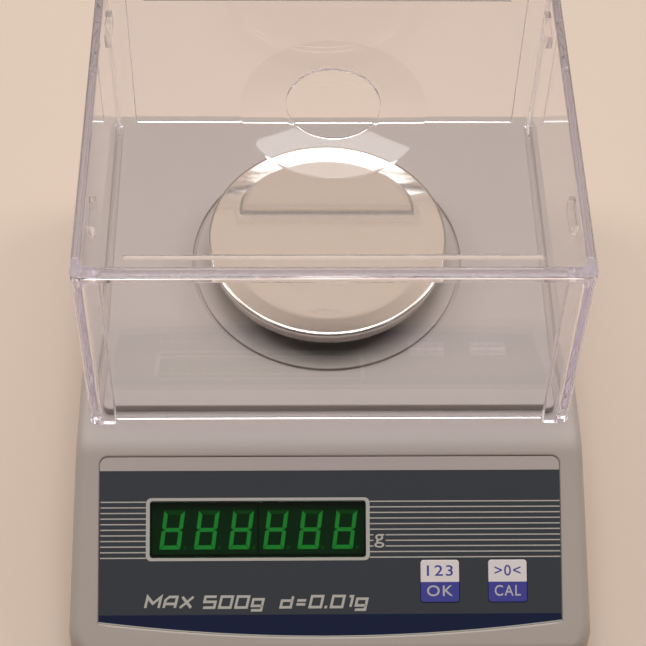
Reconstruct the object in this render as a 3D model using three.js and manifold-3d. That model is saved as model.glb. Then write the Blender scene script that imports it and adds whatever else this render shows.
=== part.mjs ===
// Electronic balance with a clear draft shield. Millimetres, +Z up, front towards -Y,
// origin on the table under the middle of the whole balance.
import * as THREE from "three";
import { mergeVertices } from "three/addons/utils/BufferGeometryUtils.js";
import Module from "manifold-3d";

const wasm = await Module();
wasm.setup();

// Clearances and cutting overrun
const seatGap = 0.3;
const glueGap = 0.15;
const runGap = 0.4;
const overrun = 4;

// Casing
const deckTop = 62;
const casingBottom = 7;
const splitHeight = 15;
const shellWall = 2.4;
const trayFloor = 2.2;
const sideDraft = THREE.MathUtils.degToRad(3);
const cornerRadius = 9;
const sideRadius = 5;
const noseRadius = 5;
const backRadius = 6;
const bendRadius = 20;
const panelTilt = THREE.MathUtils.degToRad(30);
const trayEdge = 2;
const apron = 1.3;

// Plateau on the deck, its drip groove and the hole for the pan support
const plateauHeight = 3.5;
const plateauSideGap = 3.5;
const plateauFrontGap = 8.3;
const plateauBackGap = 4;
const plateauRadius = 3;
const grooveRadius = 53.6;
const grooveWidth = 0.9;
const grooveDepth = 0.8;
const deckHoleRadius = 12;
const collarWall = 1.6;
const collarHeight = 2.5;

// Draft shield: four corner posts, four walls, lid
const shieldWidth = 180;
const shieldDepth = 155;
const shieldHeight = 87.5;
const shieldDraft = 1.45;
const shieldSideMargin = 6;
const shieldBackMargin = 8;
const postLeg = 9.8;
const postWall = 3.2;
const postFillet = 2;
const postRadius = 2.8;
const footHeight = 3.7;
const shieldWall = 2.6;
const wallRecess = 0.3;
const lidThickness = 3;
const lidRingRadius = 33.6;
const lidRingSeat = 0.6;
const fingerHoleRadius = 17.3;
const domeRise = 2.2;
const lidRibLength = 144;
const lidRibWidth = 2.2;
const lidRibDrop = 4;
const lidRibInset = 9.2;
const lidTabLength = 13.5;
const lidTabStart = 23;
const lidTabInset = 4.4;
const pegRadius = 1;
const pegLength = 3.5;
const pegInset = 3.4;

// Weighing pan and its support
const panRadius = 47.6;
const panEdgeRadius = 1.6;
const panThickness = 1;
const panTopAboveDeck = 18;
const panSkirt = 6.4;
const panDishWidth = 8;
const panDishDepth = 1.4;
const panAxisBehindMiddle = 0.7;
const supportShaftRadius = 7;
const supportFlangeRadius = 10;
const supportFlangeHeight = 5;
const supportArmLength = 37;
const supportArmWidth = 8;
const supportArmHeight = 3.6;
const supportPadRadius = 5.5;
const supportPadHeight = 1.6;
const panTravel = 0.25;

// Load cell, its plate, spacer, screws and stop
const cellLength = 80;
const cellWidth = 22;
const cellHeight = 18;
const cellEndReach = 11;
const cellBoreRadius = 5.5;
const cellBoreSpacing = 14;
const cellSlot = 3;
const platePad = 8;
const plateThickness = 4;
const spacerLength = 22;
const spacerHeight = 4;
const cellScrewRadius = 2;
const cellScrewHead = 3.6;
const cellScrewHeadHeight = 3;
const cellScrewPitch = 11;
const stopRadius = 2.5;
const stopFlange = 4;
const stopFlangeHeight = 1.5;

// Sloping panel: label, window, keys (positions are down the slope from the label's top edge)
const labelSideMargin = 9.2;
const labelSide = 61.5;
const labelSag = 5.5;
const labelFoot = 2.77;
const labelRadius = 3;
const labelThickness = 0.5;
const labelSink = 0.3;
const labelStart = 0.9;
const windowWidth = 81;
const windowHeight = 21;
const windowLeftMargin = 19.05;
const windowCentreDown = 27.05;
const windowRadius = 1;
const windowThickness = 1.5;
const keyWidth = 14.6;
const keyHeight = 15.8;
const keyRadius = 1.6;
const keyThickness = 1.4;
const keyPitch = 25.5;
const keyRightMargin = 12.9;
const keyFootMargin = 6.9;
const keyStemRadius = 2.6;
const keyTravel = 0.5;

// Display board with its digit modules and push switches
const boardThickness = 1.6;
const displayBoardSideGap = 6.8;
const displayBoardTopGap = 7;
const displayBoardFootGap = 4.5;
const digitPitch = 12.7;
const digitsPerModule = 3;
const moduleHeight = 19;
const moduleDepth = 8;
const moduleSideGap = 0.2;
const switchSize = 6.2;
const switchBody = 3.4;
const switchButtonRadius = 1.7;
const switchButtonHeight = 0.8;

// Main board and what stands on it
const mainBoardSideGap = 21;
const mainBoardDepth = 44;
const mainBoardBackGap = 4;
const mainBoardRise = 17;
const standoffRadius = 3.2;
const standoffInset = 6;
const processorSize = 14;
const processorHeight = 1.8;
const canWidth = 26;
const canDepth = 18;
const canHeight = 7;
const capacitorRadius = 5;
const capacitorHeight = 16;
const heatSinkWidth = 20;
const heatSinkDepth = 10;
const heatSinkHeight = 18;
const heatSinkFin = 1.6;
const heatSinkFins = 5;
const headerWidth = 22;
const headerDepth = 5;
const headerHeight = 6;

// Rear: power inlet and rocker switch
const inletBoardInset = 11;
const inletWidth = 9;
const inletDepth = 13;
const inletHeight = 11;
const inletCollarRadius = 4.2;
const inletBoreRadius = 3.1;
const inletPinRadius = 1.05;
const inletBoreDepth = 9.5;
const rockerBoardGap = 9.5;
const rockerSideGap = 26.5;
const rockerRise = 24;
const frameWidth = 15;
const frameHeight = 21;
const frameLip = 1.4;
const frameLipThickness = 1.2;
const frameBodyDepth = 13;
const frameWall = 1.3;
const rockerHalfHeight = 7.4;
const rockerWidth = 10.4;
const rockerPivotBehindLip = 2.6;
const rockerEndProud = 1.9;
const rockerMiddleDip = 1.1;
const rockerBelly = 4.6;
const rockerAxleRadius = 1.5;
const rockerAxleLength = 11.6;
const rockerTilt = THREE.MathUtils.degToRad(8);
const terminalWidth = 4.8;
const terminalThickness = 0.8;
const terminalLength = 8;
const terminalPitch = 7;

// Levelling feet
const footPadRadius = 9.5;
const footPadHeight = 2.2;
const footDiscRadius = 11;
const footDiscHeight = 3.6;
const footGrips = 16;
const footGripDepth = 0.8;
const footStemRadius = 3;
const footStemLength = 10;
const footInsetX = 24;
const footInsetY = 26;
const footBossRadius = 6.5;
const footBossHeight = 8;

// Casing screws
const caseScrewRadius = 1.5;
const caseScrewHead = 2.8;
const caseScrewHeadHeight = 2;
const caseScrewLength = 12;
const caseBossRadius = 4;
const caseBossInsetX = 10;
const caseBossInsetY = 12;

// Cables
const ribbonWidth = 20;
const ribbonThickness = 0.9;
const ribbonBoardInset = 19;
const leadRadius = 1.1;

// Drawing steps
const roundSides = 40;
const smallSides = 14;
const arcSteps = 5;
const socketSides = 6;
const gripSides = 8;
const leadSteps = 12;
const stationStep = 0.2;
const weld = 1e-4;

// Worked out from the sizes above
const bodyTopWidth = shieldWidth + 2 * shieldSideMargin;
const labelWidth = bodyTopWidth - 2 * labelSideMargin;
const labelMiddle = labelSide + labelSag;
const windowCentreX = windowLeftMargin - (labelWidth - windowWidth) / 2;
const lastKeyX = (labelWidth - keyWidth) / 2 - keyRightMargin;
const keyCentresX = [lastKeyX - keyPitch, lastKeyX];
const keyCentreDown = labelSide - keyFootMargin - keyHeight / 2;
const displayBoardWidth = labelWidth - 2 * displayBoardSideGap;
const displayBoardHeight = labelSide - displayBoardTopGap - displayBoardFootGap;
const displayBoardDown = displayBoardTopGap + displayBoardHeight / 2;
const rockerX = rockerSideGap + (frameWidth - bodyTopWidth) / 2;
const mainBoardLeft = rockerX + frameWidth / 2 + rockerBoardGap;
const mainBoardRight = bodyTopWidth / 2 - mainBoardSideGap;
const mainBoardWidth = mainBoardRight - mainBoardLeft;
const mainBoardX = (mainBoardLeft + mainBoardRight) / 2;
const inletX = mainBoardLeft + inletBoardInset;
const ribbonX = mainBoardRight - ribbonBoardInset;
const slopeLength = labelStart + labelMiddle + labelFoot;
const noseReach = noseRadius * (1 - Math.sin(panelTilt));
const bendReach = apron + bendRadius * Math.sin(panelTilt);
const shieldSetback = bendReach + slopeLength * Math.cos(panelTilt) + noseReach;
const bodyDepth = shieldSetback + shieldDepth + shieldBackMargin;
const rockerReach = Math.hypot(rockerHalfHeight, rockerEndProud + rockerPivotBehindLip);
const rockerReachAngle = Math.atan2(rockerEndProud + rockerPivotBehindLip, rockerHalfHeight);
const rockerHighest = rockerReach * Math.sin(rockerReachAngle + rockerTilt);
const rearReach = frameLipThickness - rockerPivotBehindLip + rockerHighest;
const bodyFront = -(bodyDepth + rearReach) / 2;
const bodyBack = bodyFront + bodyDepth;
const shieldFront = bodyFront + shieldSetback;
const shieldBack = shieldFront + shieldDepth;
const panAxisY = shieldFront + shieldDepth / 2 + panAxisBehindMiddle;
const bendY = shieldFront - apron;
const slope = Math.tan(panelTilt);
const bendEndY = bendY - bendRadius * Math.sin(panelTilt);
const bendEndZ = deckTop - bendRadius * (1 - Math.cos(panelTilt));
const noseY = bodyFront + noseRadius;
const noseZ = bendEndZ - (bendEndY - noseY) * slope - noseRadius / Math.cos(panelTilt);
const trayTop = casingBottom + trayFloor;
const plateauTop = deckTop + plateauHeight;
const shieldTop = deckTop + shieldHeight;

// Joining and cutting

function solid(geometry) {
  const bare = geometry.index ? geometry.toNonIndexed() : geometry.clone();
  bare.deleteAttribute("normal");
  bare.deleteAttribute("uv");
  const merged = mergeVertices(bare, weld);
  return new wasm.Manifold(
    new wasm.Mesh({
      numProp: 3,
      vertProperties: new Float32Array(merged.attributes.position.array),
      triVerts: new Uint32Array(merged.index.array),
    }),
  );
}

function joined(first, ...others) {
  return others.reduce((sum, geometry) => sum.add(solid(geometry)), asSolid(first));
}

function cut(first, ...others) {
  return others.reduce((rest, geometry) => rest.subtract(solid(geometry)), asSolid(first));
}

function asSolid(shape) {
  return shape.isBufferGeometry ? solid(shape) : shape;
}

function asGeometry(shape) {
  if (shape.isBufferGeometry) return shape;
  const mesh = shape.getMesh();
  const geometry = new THREE.BufferGeometry();
  geometry.setAttribute("position", new THREE.BufferAttribute(new Float32Array(mesh.vertProperties), 3));
  geometry.setIndex(new THREE.BufferAttribute(new Uint32Array(mesh.triVerts), 1));
  const flat = geometry.toNonIndexed();
  flat.computeVertexNormals();
  return flat;
}

// Shapes

function block(x, y, z) {
  const geometry = new THREE.BoxGeometry(x[1] - x[0], y[1] - y[0], z[1] - z[0]);
  return geometry.translate((x[0] + x[1]) / 2, (y[0] + y[1]) / 2, (z[0] + z[1]) / 2);
}

function around(centre, size) {
  return [centre - size / 2, centre + size / 2];
}

function rod(radius, z, x, y, sides = smallSides) {
  const geometry = new THREE.CylinderGeometry(radius, radius, z[1] - z[0], sides);
  geometry.rotateX(Math.PI / 2);
  return geometry.translate(x, y, (z[0] + z[1]) / 2);
}

function turned(points, sides = roundSides) {
  const profile = points.map(([r, z]) => new THREE.Vector2(r, z));
  const geometry = outward(new THREE.LatheGeometry(profile, sides));
  return geometry.rotateX(Math.PI / 2);
}

// A closed body through rings of equal count; flat() gives the plane in which its ends are closed.
function loft(rings, flat) {
  const count = rings[0].length;
  const positions = rings.flat().flatMap((p) => [p.x, p.y, p.z]);
  const index = [];
  for (let i = 0; i + 1 < rings.length; i += 1) {
    for (let j = 0; j < count; j += 1) {
      const next = (j + 1) % count;
      const a = i * count + j;
      const b = i * count + next;
      index.push(a, b, b + count, a, b + count, a + count);
    }
  }
  const clockwise = THREE.ShapeUtils.isClockWise(rings[0].map(flat));
  const lastStart = (rings.length - 1) * count;
  const closeEnd = (ring, start, facesBack) => {
    for (const [a, b, c] of THREE.ShapeUtils.triangulateShape(ring.map(flat), [])) {
      const [second, third] = facesBack === clockwise ? [b, c] : [c, b];
      index.push(start + a, start + second, start + third);
    }
  };
  closeEnd(rings[0], 0, true);
  closeEnd(rings.at(-1), lastStart, false);
  const geometry = new THREE.BufferGeometry();
  geometry.setAttribute("position", new THREE.Float32BufferAttribute(positions, 3));
  geometry.setIndex(index);
  return outward(geometry.toNonIndexed());
}

// Turns the faces of a closed body outwards.
function outward(geometry) {
  const flat = geometry.index ? geometry.toNonIndexed() : geometry;
  const p = flat.attributes.position;
  const [a, b, c] = [new THREE.Vector3(), new THREE.Vector3(), new THREE.Vector3()];
  let volume = 0;
  for (let i = 0; i < p.count; i += 3) {
    a.fromBufferAttribute(p, i);
    b.fromBufferAttribute(p, i + 1);
    c.fromBufferAttribute(p, i + 2);
    volume += a.dot(b.cross(c));
  }
  if (volume < 0) {
    for (let i = 0; i < p.count; i += 3) {
      b.fromBufferAttribute(p, i + 1);
      c.fromBufferAttribute(p, i + 2);
      p.setXYZ(i + 1, c.x, c.y, c.z);
      p.setXYZ(i + 2, b.x, b.y, b.z);
    }
  }
  flat.computeVertexNormals();
  return flat;
}

// A body of straight or drafted sides between two plan outlines.
function between(low, high, z) {
  const ring = (outline, height) => outline.map(([x, y]) => new THREE.Vector3(x, y, height));
  return loft([ring(low, z[0]), ring(high, z[1])], (p) => new THREE.Vector2(p.x, p.y));
}

function roundedPlan(halfWidth, y, radius, steps = arcSteps) {
  const outline = [];
  const corners = [
    [halfWidth - radius, y[0] + radius, -Math.PI / 2],
    [halfWidth - radius, y[1] - radius, 0],
    [radius - halfWidth, y[1] - radius, Math.PI / 2],
    [radius - halfWidth, y[0] + radius, Math.PI],
  ];
  for (const [x, cy, start] of corners) {
    for (let k = 0; k <= steps; k += 1) {
      const angle = start + (k / steps) * (Math.PI / 2);
      outline.push([x + radius * Math.cos(angle), cy + radius * Math.sin(angle)]);
    }
  }
  return outline;
}

function roundedPlate(width, height, radius, z, x = 0, y = 0) {
  const outline = roundedPlan(width / 2, around(0, height), radius);
  return between(outline, outline, z).translate(x, y, 0);
}

// Casing: sections across the body, stacked from front to back

function topAt(y, inset) {
  const noseEnd = noseY - (noseRadius - inset) * Math.sin(panelTilt);
  if (y < noseEnd) return noseZ + Math.sqrt(Math.max((noseRadius - inset) ** 2 - (y - noseY) ** 2, 0));
  const bendEnd = bendY - (bendRadius - inset) * Math.sin(panelTilt);
  if (y < bendEnd) return bendEndZ - (bendEndY - y) * slope - inset / Math.cos(panelTilt);
  if (y < bendY) return deckTop - bendRadius + Math.sqrt((bendRadius - inset) ** 2 - (bendY - y) ** 2);
  const backStart = bodyBack - backRadius;
  if (y < backStart) return deckTop - inset;
  return deckTop - backRadius + Math.sqrt(Math.max((backRadius - inset) ** 2 - (y - backStart) ** 2, 0));
}

function stations(inset) {
  const front = bodyFront + inset;
  const back = bodyBack - inset;
  const places = [bendY];
  for (let k = 1; k <= arcSteps; k += 1) {
    const turn = 1 - Math.cos((k / arcSteps) * (Math.PI / 2));
    places.push(front + (cornerRadius - inset) * turn);
    places.push(back - (cornerRadius - inset) * turn);
    places.push(back - (backRadius - inset) * turn);
    places.push(bendY - (bendRadius - inset) * Math.sin(panelTilt) * (k / arcSteps));
    const noseTurn = 1 - Math.cos((k / arcSteps) * (Math.PI / 2 - panelTilt));
    places.push(front + (noseRadius - inset) * noseTurn);
  }
  const kept = [front];
  for (const y of places.sort((a, b) => a - b)) {
    if (y - kept.at(-1) > stationStep && back - y > stationStep) kept.push(y);
  }
  return [...kept, back];
}

function cornerInset(y, inset) {
  const radius = cornerRadius - inset;
  const reach = Math.min(y - bodyFront - inset, bodyBack - inset - y, radius);
  return radius - Math.sqrt(Math.max(radius ** 2 - (radius - reach) ** 2, 0));
}

function halfWidthAt(z) {
  return bodyTopWidth / 2 + (deckTop - z) * Math.tan(sideDraft);
}

function casingSection(y, inset, bottom) {
  const top = topAt(y, inset);
  const narrow = inset + cornerInset(y, inset);
  const radius = Math.min(sideRadius - inset, (top - bottom) / 2);
  const sideTop = halfWidthAt(top - radius) - narrow;
  const half = [[halfWidthAt(bottom) - narrow, bottom]];
  for (let k = 0; k <= arcSteps; k += 1) {
    const angle = (k / arcSteps) * (Math.PI / 2);
    half.push([sideTop - radius + radius * Math.cos(angle), top - radius + radius * Math.sin(angle)]);
  }
  const right = half.map(([x, z]) => new THREE.Vector3(x, y, z));
  const left = half.map(([x, z]) => new THREE.Vector3(-x, y, z)).reverse();
  return [...right, ...left];
}

function casingBody(inset, bottom) {
  const rings = stations(inset).map((y) => casingSection(y, inset, bottom));
  return loft(rings, (p) => new THREE.Vector2(p.x, p.z));
}

// Sloping panel: its own group, y = 0 at the label's top edge, z = 0 on the panel's surface
const panel = new THREE.Group();
panel.position.y = bendEndY - labelStart * Math.cos(panelTilt);
panel.position.z = bendEndZ - labelStart * Math.sin(panelTilt);
panel.rotation.x = panelTilt;
panel.updateMatrixWorld(true);

function inPanel(geometry) {
  return geometry.applyMatrix4(panel.matrixWorld);
}

function labelOutline(grow) {
  const half = labelWidth / 2 + grow;
  const radius = labelRadius + grow;
  const side = -labelSide - grow;
  const sag = labelMiddle - labelSide;
  const sweep = (half ** 2 + sag ** 2) / (2 * sag);
  const sweepAngle = Math.asin(half / sweep);
  const shape = new THREE.Shape();
  shape.moveTo(-half, side);
  shape.absarc(0, side - sag + sweep, sweep, -Math.PI / 2 - sweepAngle, -Math.PI / 2 + sweepAngle, false);
  shape.lineTo(half, grow - radius);
  shape.absarc(half - radius, grow - radius, radius, 0, Math.PI / 2, false);
  shape.lineTo(radius - half, grow);
  shape.absarc(radius - half, grow - radius, radius, Math.PI / 2, Math.PI, false);
  shape.closePath();
  return shape;
}

function labelPlate(grow, z) {
  const geometry = new THREE.ExtrudeGeometry(labelOutline(grow), {
    depth: z[1] - z[0],
    bevelEnabled: false,
    curveSegments: smallSides,
  });
  return geometry.translate(0, 0, z[0]);
}

function windowPlate(grow, z) {
  const width = windowWidth + 2 * grow;
  const height = windowHeight + 2 * grow;
  return roundedPlate(width, height, windowRadius + Math.max(grow, 0), z, windowCentreX, -windowCentreDown);
}

function keyPlate(x, grow, z) {
  return roundedPlate(keyWidth + 2 * grow, keyHeight + 2 * grow, keyRadius + grow, z, x, -keyCentreDown);
}

const labelTop = -labelSink;
const labelUnder = labelTop - labelThickness;
const pocketFloor = labelUnder - seatGap;
const windowUnder = labelTop - windowThickness;
const keyUnder = labelTop - keyThickness;
const moduleFront = pocketFloor - shellWall;
const displayBoardTop = moduleFront - moduleDepth - seatGap;
const switchTop = displayBoardTop + seatGap + switchBody + switchButtonHeight;

// Casing screws and feet are placed in the four corners
const corners = [
  ["front_left", -1, -1],
  ["front_right", 1, -1],
  ["back_left", -1, 1],
  ["back_right", 1, 1],
];

function cornerPlace(sx, sy, insetX, insetY) {
  const y = sy < 0 ? bodyFront + insetY : bodyBack - insetY;
  return [sx * (bodyTopWidth / 2 - insetX), y];
}

const screwPlaces = corners.map(([, sx, sy]) => cornerPlace(sx, sy, caseBossInsetX, caseBossInsetY));
const footPlaces = corners.map(([, sx, sy]) => cornerPlace(sx, sy, footInsetX, footInsetY));

function upperHousing() {
  const bottom = splitHeight + seatGap;
  const core = solid(casingBody(shellWall / 2, bottom));
  let shell = cut(casingBody(0, bottom), casingBody(shellWall, splitHeight - overrun));
  for (const [x, y] of screwPlaces) {
    shell = shell.add(core.intersect(solid(rod(caseBossRadius, [bottom, deckTop], x, y))));
  }
  const plan = roundedPlan(
    shieldWidth / 2 - plateauSideGap,
    [shieldFront + plateauFrontGap, shieldBack - plateauBackGap],
    plateauRadius,
  );
  const collarTop = plateauTop + collarHeight;
  shell = joined(
    shell,
    between(plan, plan, [deckTop - shellWall / 2, plateauTop]),
    rod(deckHoleRadius + collarWall, [deckTop - shellWall / 2, collarTop], 0, panAxisY, roundSides),
  );
  const groove = turned([
    [grooveRadius - grooveWidth / 2, plateauTop - grooveDepth],
    [grooveRadius + grooveWidth / 2, plateauTop - grooveDepth],
    [grooveRadius + grooveWidth / 2, plateauTop + overrun],
    [grooveRadius - grooveWidth / 2, plateauTop + overrun],
    [grooveRadius - grooveWidth / 2, plateauTop - grooveDepth],
  ]).translate(0, panAxisY, 0);
  const pilotZ = [splitHeight - overrun, casingBottom + caseScrewLength + overrun / 2];
  const pilots = screwPlaces.map(([x, y]) => rod(caseScrewRadius + glueGap, pilotZ, x, y));
  const wallCut = [bodyBack - shellWall - overrun, bodyBack + overrun];
  const rockerZ = trayTop + rockerRise;
  return cut(
    shell,
    groove,
    ...pilots,
    rod(deckHoleRadius, [deckTop - plateauHeight - overrun, collarTop + overrun], 0, panAxisY, roundSides),
    inPanel(labelPlate(seatGap, [pocketFloor, overrun])),
    inPanel(windowPlate(seatGap, [pocketFloor - shellWall - overrun, overrun])),
    ...keyCentresX.map((x) => inPanel(keyPlate(x, runGap, [pocketFloor - shellWall - overrun, overrun]))),
    block(around(rockerX, frameWidth + 2 * seatGap), wallCut, around(rockerZ, frameHeight + 2 * seatGap)),
    rodY(inletCollarRadius + seatGap, wallCut, inletX, inletZ()),
  );
}

function rodY(radius, y, x, z, sides = smallSides) {
  const geometry = new THREE.CylinderGeometry(radius, radius, y[1] - y[0], sides);
  return geometry.translate(x, (y[0] + y[1]) / 2, z);
}

function rodX(radius, x, y, z, sides = smallSides) {
  const geometry = new THREE.CylinderGeometry(radius, radius, x[1] - x[0], sides);
  geometry.rotateZ(Math.PI / 2);
  return geometry.translate((x[0] + x[1]) / 2, y, z);
}

function mainBoardZ() {
  return trayTop + mainBoardRise;
}

function inletZ() {
  return mainBoardZ() + boardThickness + seatGap + inletHeight / 2;
}

function mainBoardY() {
  const back = bodyBack - shellWall - mainBoardBackGap;
  return [back - mainBoardDepth, back];
}

function trayPlan(grow, z) {
  const half = halfWidthAt(z) + grow;
  return roundedPlan(half, [bodyFront - grow, bodyBack + grow], cornerRadius + grow);
}

function lowerHousing() {
  const ring = (grow, z) => trayPlan(grow, z).map(([x, y]) => new THREE.Vector3(x, y, z));
  const flat = (p) => new THREE.Vector2(p.x, p.y);
  const edgeShares = [0, 0.3, 0.7, 1];
  const outer = loft(
    [
      ...edgeShares.map((share) => {
        const fall = 1 - Math.sqrt(1 - (1 - share) ** 2);
        return ring(-trayEdge * fall, casingBottom + trayEdge * share);
      }),
      ring(0, splitHeight),
    ],
    flat,
  );
  const inner = loft([ring(-shellWall, trayTop), ring(-shellWall, splitHeight + overrun)], flat);
  const mainY = mainBoardY();
  const bossFoot = trayTop - trayFloor / 2;
  const standoffZ = [bossFoot, mainBoardZ() - seatGap];
  const standoffs = [];
  for (const side of [-1, 1]) {
    const x = mainBoardX + side * (mainBoardWidth / 2 - standoffInset);
    standoffs.push(rod(standoffRadius, standoffZ, x, mainY[0] + standoffInset));
    standoffs.push(rod(standoffRadius, standoffZ, x, mainY[1] - standoffInset));
  }
  const footZ = [bossFoot, trayTop + footBossHeight];
  const throughZ = [casingBottom - overrun, trayTop + footBossHeight + overrun];
  const sinkZ = [casingBottom - overrun, casingBottom + caseScrewHeadHeight];
  const footBosses = footPlaces.map(([x, y]) => rod(footBossRadius, footZ, x, y));
  const footHoles = footPlaces.map(([x, y]) => rod(footStemRadius + runGap / 2, throughZ, x, y));
  const sleeves = screwPlaces.map(([x, y]) => rod(caseBossRadius, [bossFoot, splitHeight], x, y));
  const screwHoles = screwPlaces.map(([x, y]) => rod(caseScrewRadius + seatGap, throughZ, x, y));
  const counterbores = screwPlaces.map(([x, y]) => rod(caseScrewHead + seatGap, sinkZ, x, y));
  const tray = joined(cut(outer, inner), ...standoffs, ...footBosses, ...sleeves);
  return cut(tray, ...footHoles, ...screwHoles, ...counterbores);
}

// Draft shield

function shieldInset(z) {
  return ((z - deckTop) / shieldHeight) * shieldDraft;
}

function postOutline(sx, sy, z) {
  const inset = shieldInset(z);
  const cornerX = sx * (shieldWidth / 2 - inset);
  const cornerY = sy < 0 ? shieldFront + inset : shieldBack - inset;
  const local = [
    [postLeg, 0],
    [postLeg, postWall],
    [postWall + postFillet, postWall],
    [postWall, postWall + postFillet],
    [postWall, postLeg],
    [0, postLeg],
  ];
  for (let k = 0; k <= arcSteps; k += 1) {
    const angle = Math.PI + (k / arcSteps) * (Math.PI / 2);
    local.push([postRadius + postRadius * Math.cos(angle), postRadius + postRadius * Math.sin(angle)]);
  }
  return local.map(([x, y]) => [cornerX - sx * x, cornerY - sy * y]);
}

function pegPlace(sx, sy) {
  const inset = shieldInset(shieldTop) + pegInset;
  return [sx * (shieldWidth / 2 - inset), sy < 0 ? shieldFront + inset : shieldBack - inset];
}

function shieldPost(sx, sy) {
  const post = between(postOutline(sx, sy, deckTop), postOutline(sx, sy, shieldTop), [deckTop, shieldTop]);
  const [x, y] = pegPlace(sx, sy);
  return cut(post, rod(pegRadius + glueGap, [shieldTop - pegLength - seatGap, shieldTop + overrun], x, y));
}

// A wall between two posts: across is true for the front and back walls.
function shieldPanel(across, side) {
  const outline = (z) => {
    const inset = shieldInset(z) + wallRecess;
    const reach = postLeg + glueGap + shieldInset(z);
    const x = shieldWidth / 2;
    if (across) {
      const face = side < 0 ? shieldFront + inset : shieldBack - inset;
      const inner = face - side * shieldWall;
      return [[reach - x, face], [x - reach, face], [x - reach, inner], [reach - x, inner]];
    }
    const face = side * (x - inset);
    const inner = face - side * shieldWall;
    const front = shieldFront + reach;
    const back = shieldBack - reach;
    return [[face, front], [face, back], [inner, back], [inner, front]];
  };
  const foot = deckTop + footHeight;
  return between(outline(foot), outline(shieldTop), [foot, shieldTop]);
}

function shieldLid() {
  const z = [shieldTop, shieldTop + lidThickness];
  const inset = shieldInset(shieldTop);
  const span = [shieldFront + inset, shieldBack - inset];
  const plan = roundedPlan(shieldWidth / 2 - inset, span, postRadius);
  const middle = (span[0] + span[1]) / 2;
  const through = [z[0] - overrun, z[1] + overrun];
  const opened = cut(between(plan, plan, z), rod(lidRingRadius, through, 0, middle, roundSides));
  const ring = turned([
    [fingerHoleRadius, z[1] + domeRise],
    [lidRingRadius, z[1]],
    [lidRingRadius + lidRingSeat, z[1]],
    [lidRingRadius + lidRingSeat, z[0]],
    [lidRingRadius, z[0]],
    [fingerHoleRadius, z[0] + domeRise],
    [fingerHoleRadius, z[1] + domeRise],
  ]).translate(0, middle, 0);
  const ribZ = [z[0] - lidRibDrop, z[0] + lidThickness / 2];
  const ribs = [];
  for (const side of [-1, 1]) {
    const edge = side < 0 ? span[0] + lidRibInset : span[1] - lidRibInset - lidRibWidth;
    ribs.push(block(around(0, lidRibLength), [edge, edge + lidRibWidth], ribZ));
    const tabX = side * (shieldWidth / 2 - inset - lidTabInset - lidRibWidth / 2);
    const frontTab = span[0] + lidTabStart;
    const backTab = span[1] - lidTabStart - lidTabLength;
    for (const start of [frontTab, backTab]) {
      ribs.push(block(around(tabX, lidRibWidth), [start, start + lidTabLength], ribZ));
    }
  }
  const pegs = corners.map(([, sx, sy]) => {
    const [x, y] = pegPlace(sx, sy);
    return rod(pegRadius, [z[0] - pegLength, z[0] + lidThickness / 2], x, y);
  });
  return joined(opened, ring, ...ribs, ...pegs);
}

// Pan and what carries it

const panTop = deckTop + panTopAboveDeck;
const panFloor = panTop - panDishDepth;
const supportTop = panFloor - panThickness - seatGap;
const cellPlateTop = trayTop + seatGap + plateThickness;
const cellBottom = cellPlateTop + spacerHeight + 2 * seatGap;
const cellTop = cellBottom + cellHeight;
const supportBottom = cellTop + seatGap;
const cellX = [cellEndReach - cellLength, cellEndReach];
const fixedScrewX = [-1, 1].map((side) => cellX[0] + (spacerLength + side * cellScrewPitch) / 2);
const freeScrewY = [-1, 1].map((side) => panAxisY + (side * cellScrewPitch) / 2);

function weighingPan() {
  const outer = panRadius;
  const inner = panRadius - panThickness;
  const floorRadius = outer - panEdgeRadius - panDishWidth;
  const profile = [[0, panFloor], [floorRadius, panFloor]];
  for (let k = 0; k <= arcSteps; k += 1) {
    const angle = (k / arcSteps) * (Math.PI / 2);
    profile.push([
      outer - panEdgeRadius + panEdgeRadius * Math.sin(angle),
      panTop - panEdgeRadius + panEdgeRadius * Math.cos(angle),
    ]);
  }
  profile.push([outer, panTop - panSkirt], [inner, panTop - panSkirt], [inner, panTop - panEdgeRadius]);
  profile.push([inner - (panEdgeRadius - panThickness), panTop - panThickness]);
  profile.push([floorRadius, panFloor - panThickness], [0, panFloor - panThickness]);
  return turned(profile).translate(0, panAxisY, 0);
}

function panSupport() {
  const armTop = supportTop - supportPadHeight;
  const armZ = [armTop - supportArmHeight, armTop];
  const hub = rod(supportShaftRadius, [supportBottom, armTop], 0, panAxisY, roundSides / 2);
  const flange = rod(
    supportFlangeRadius,
    [supportBottom, supportBottom + supportFlangeHeight],
    0,
    panAxisY,
    roundSides / 2,
  );
  const arms = [
    block(around(0, 2 * supportArmLength), around(panAxisY, supportArmWidth), armZ),
    block(around(0, supportArmWidth), around(panAxisY, 2 * supportArmLength), armZ),
  ];
  const reach = supportArmLength - supportPadRadius;
  const pads = [[reach, 0], [-reach, 0], [0, reach], [0, -reach]].map(([x, y]) =>
    rod(supportPadRadius, [armZ[0], supportTop], x, panAxisY + y),
  );
  const flangeTop = supportBottom + supportFlangeHeight;
  const roomZ = [flangeTop - cellScrewHeadHeight, flangeTop + overrun];
  const screwRoom = freeScrewY.map((y) => rod(cellScrewHead + seatGap, roomZ, 0, y));
  const screwHoles = freeScrewY.map((y) =>
    rod(cellScrewRadius + glueGap, [supportBottom - overrun, flangeTop], 0, y),
  );
  return cut(joined(hub, flange, ...arms, ...pads), ...screwRoom, ...screwHoles);
}

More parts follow.
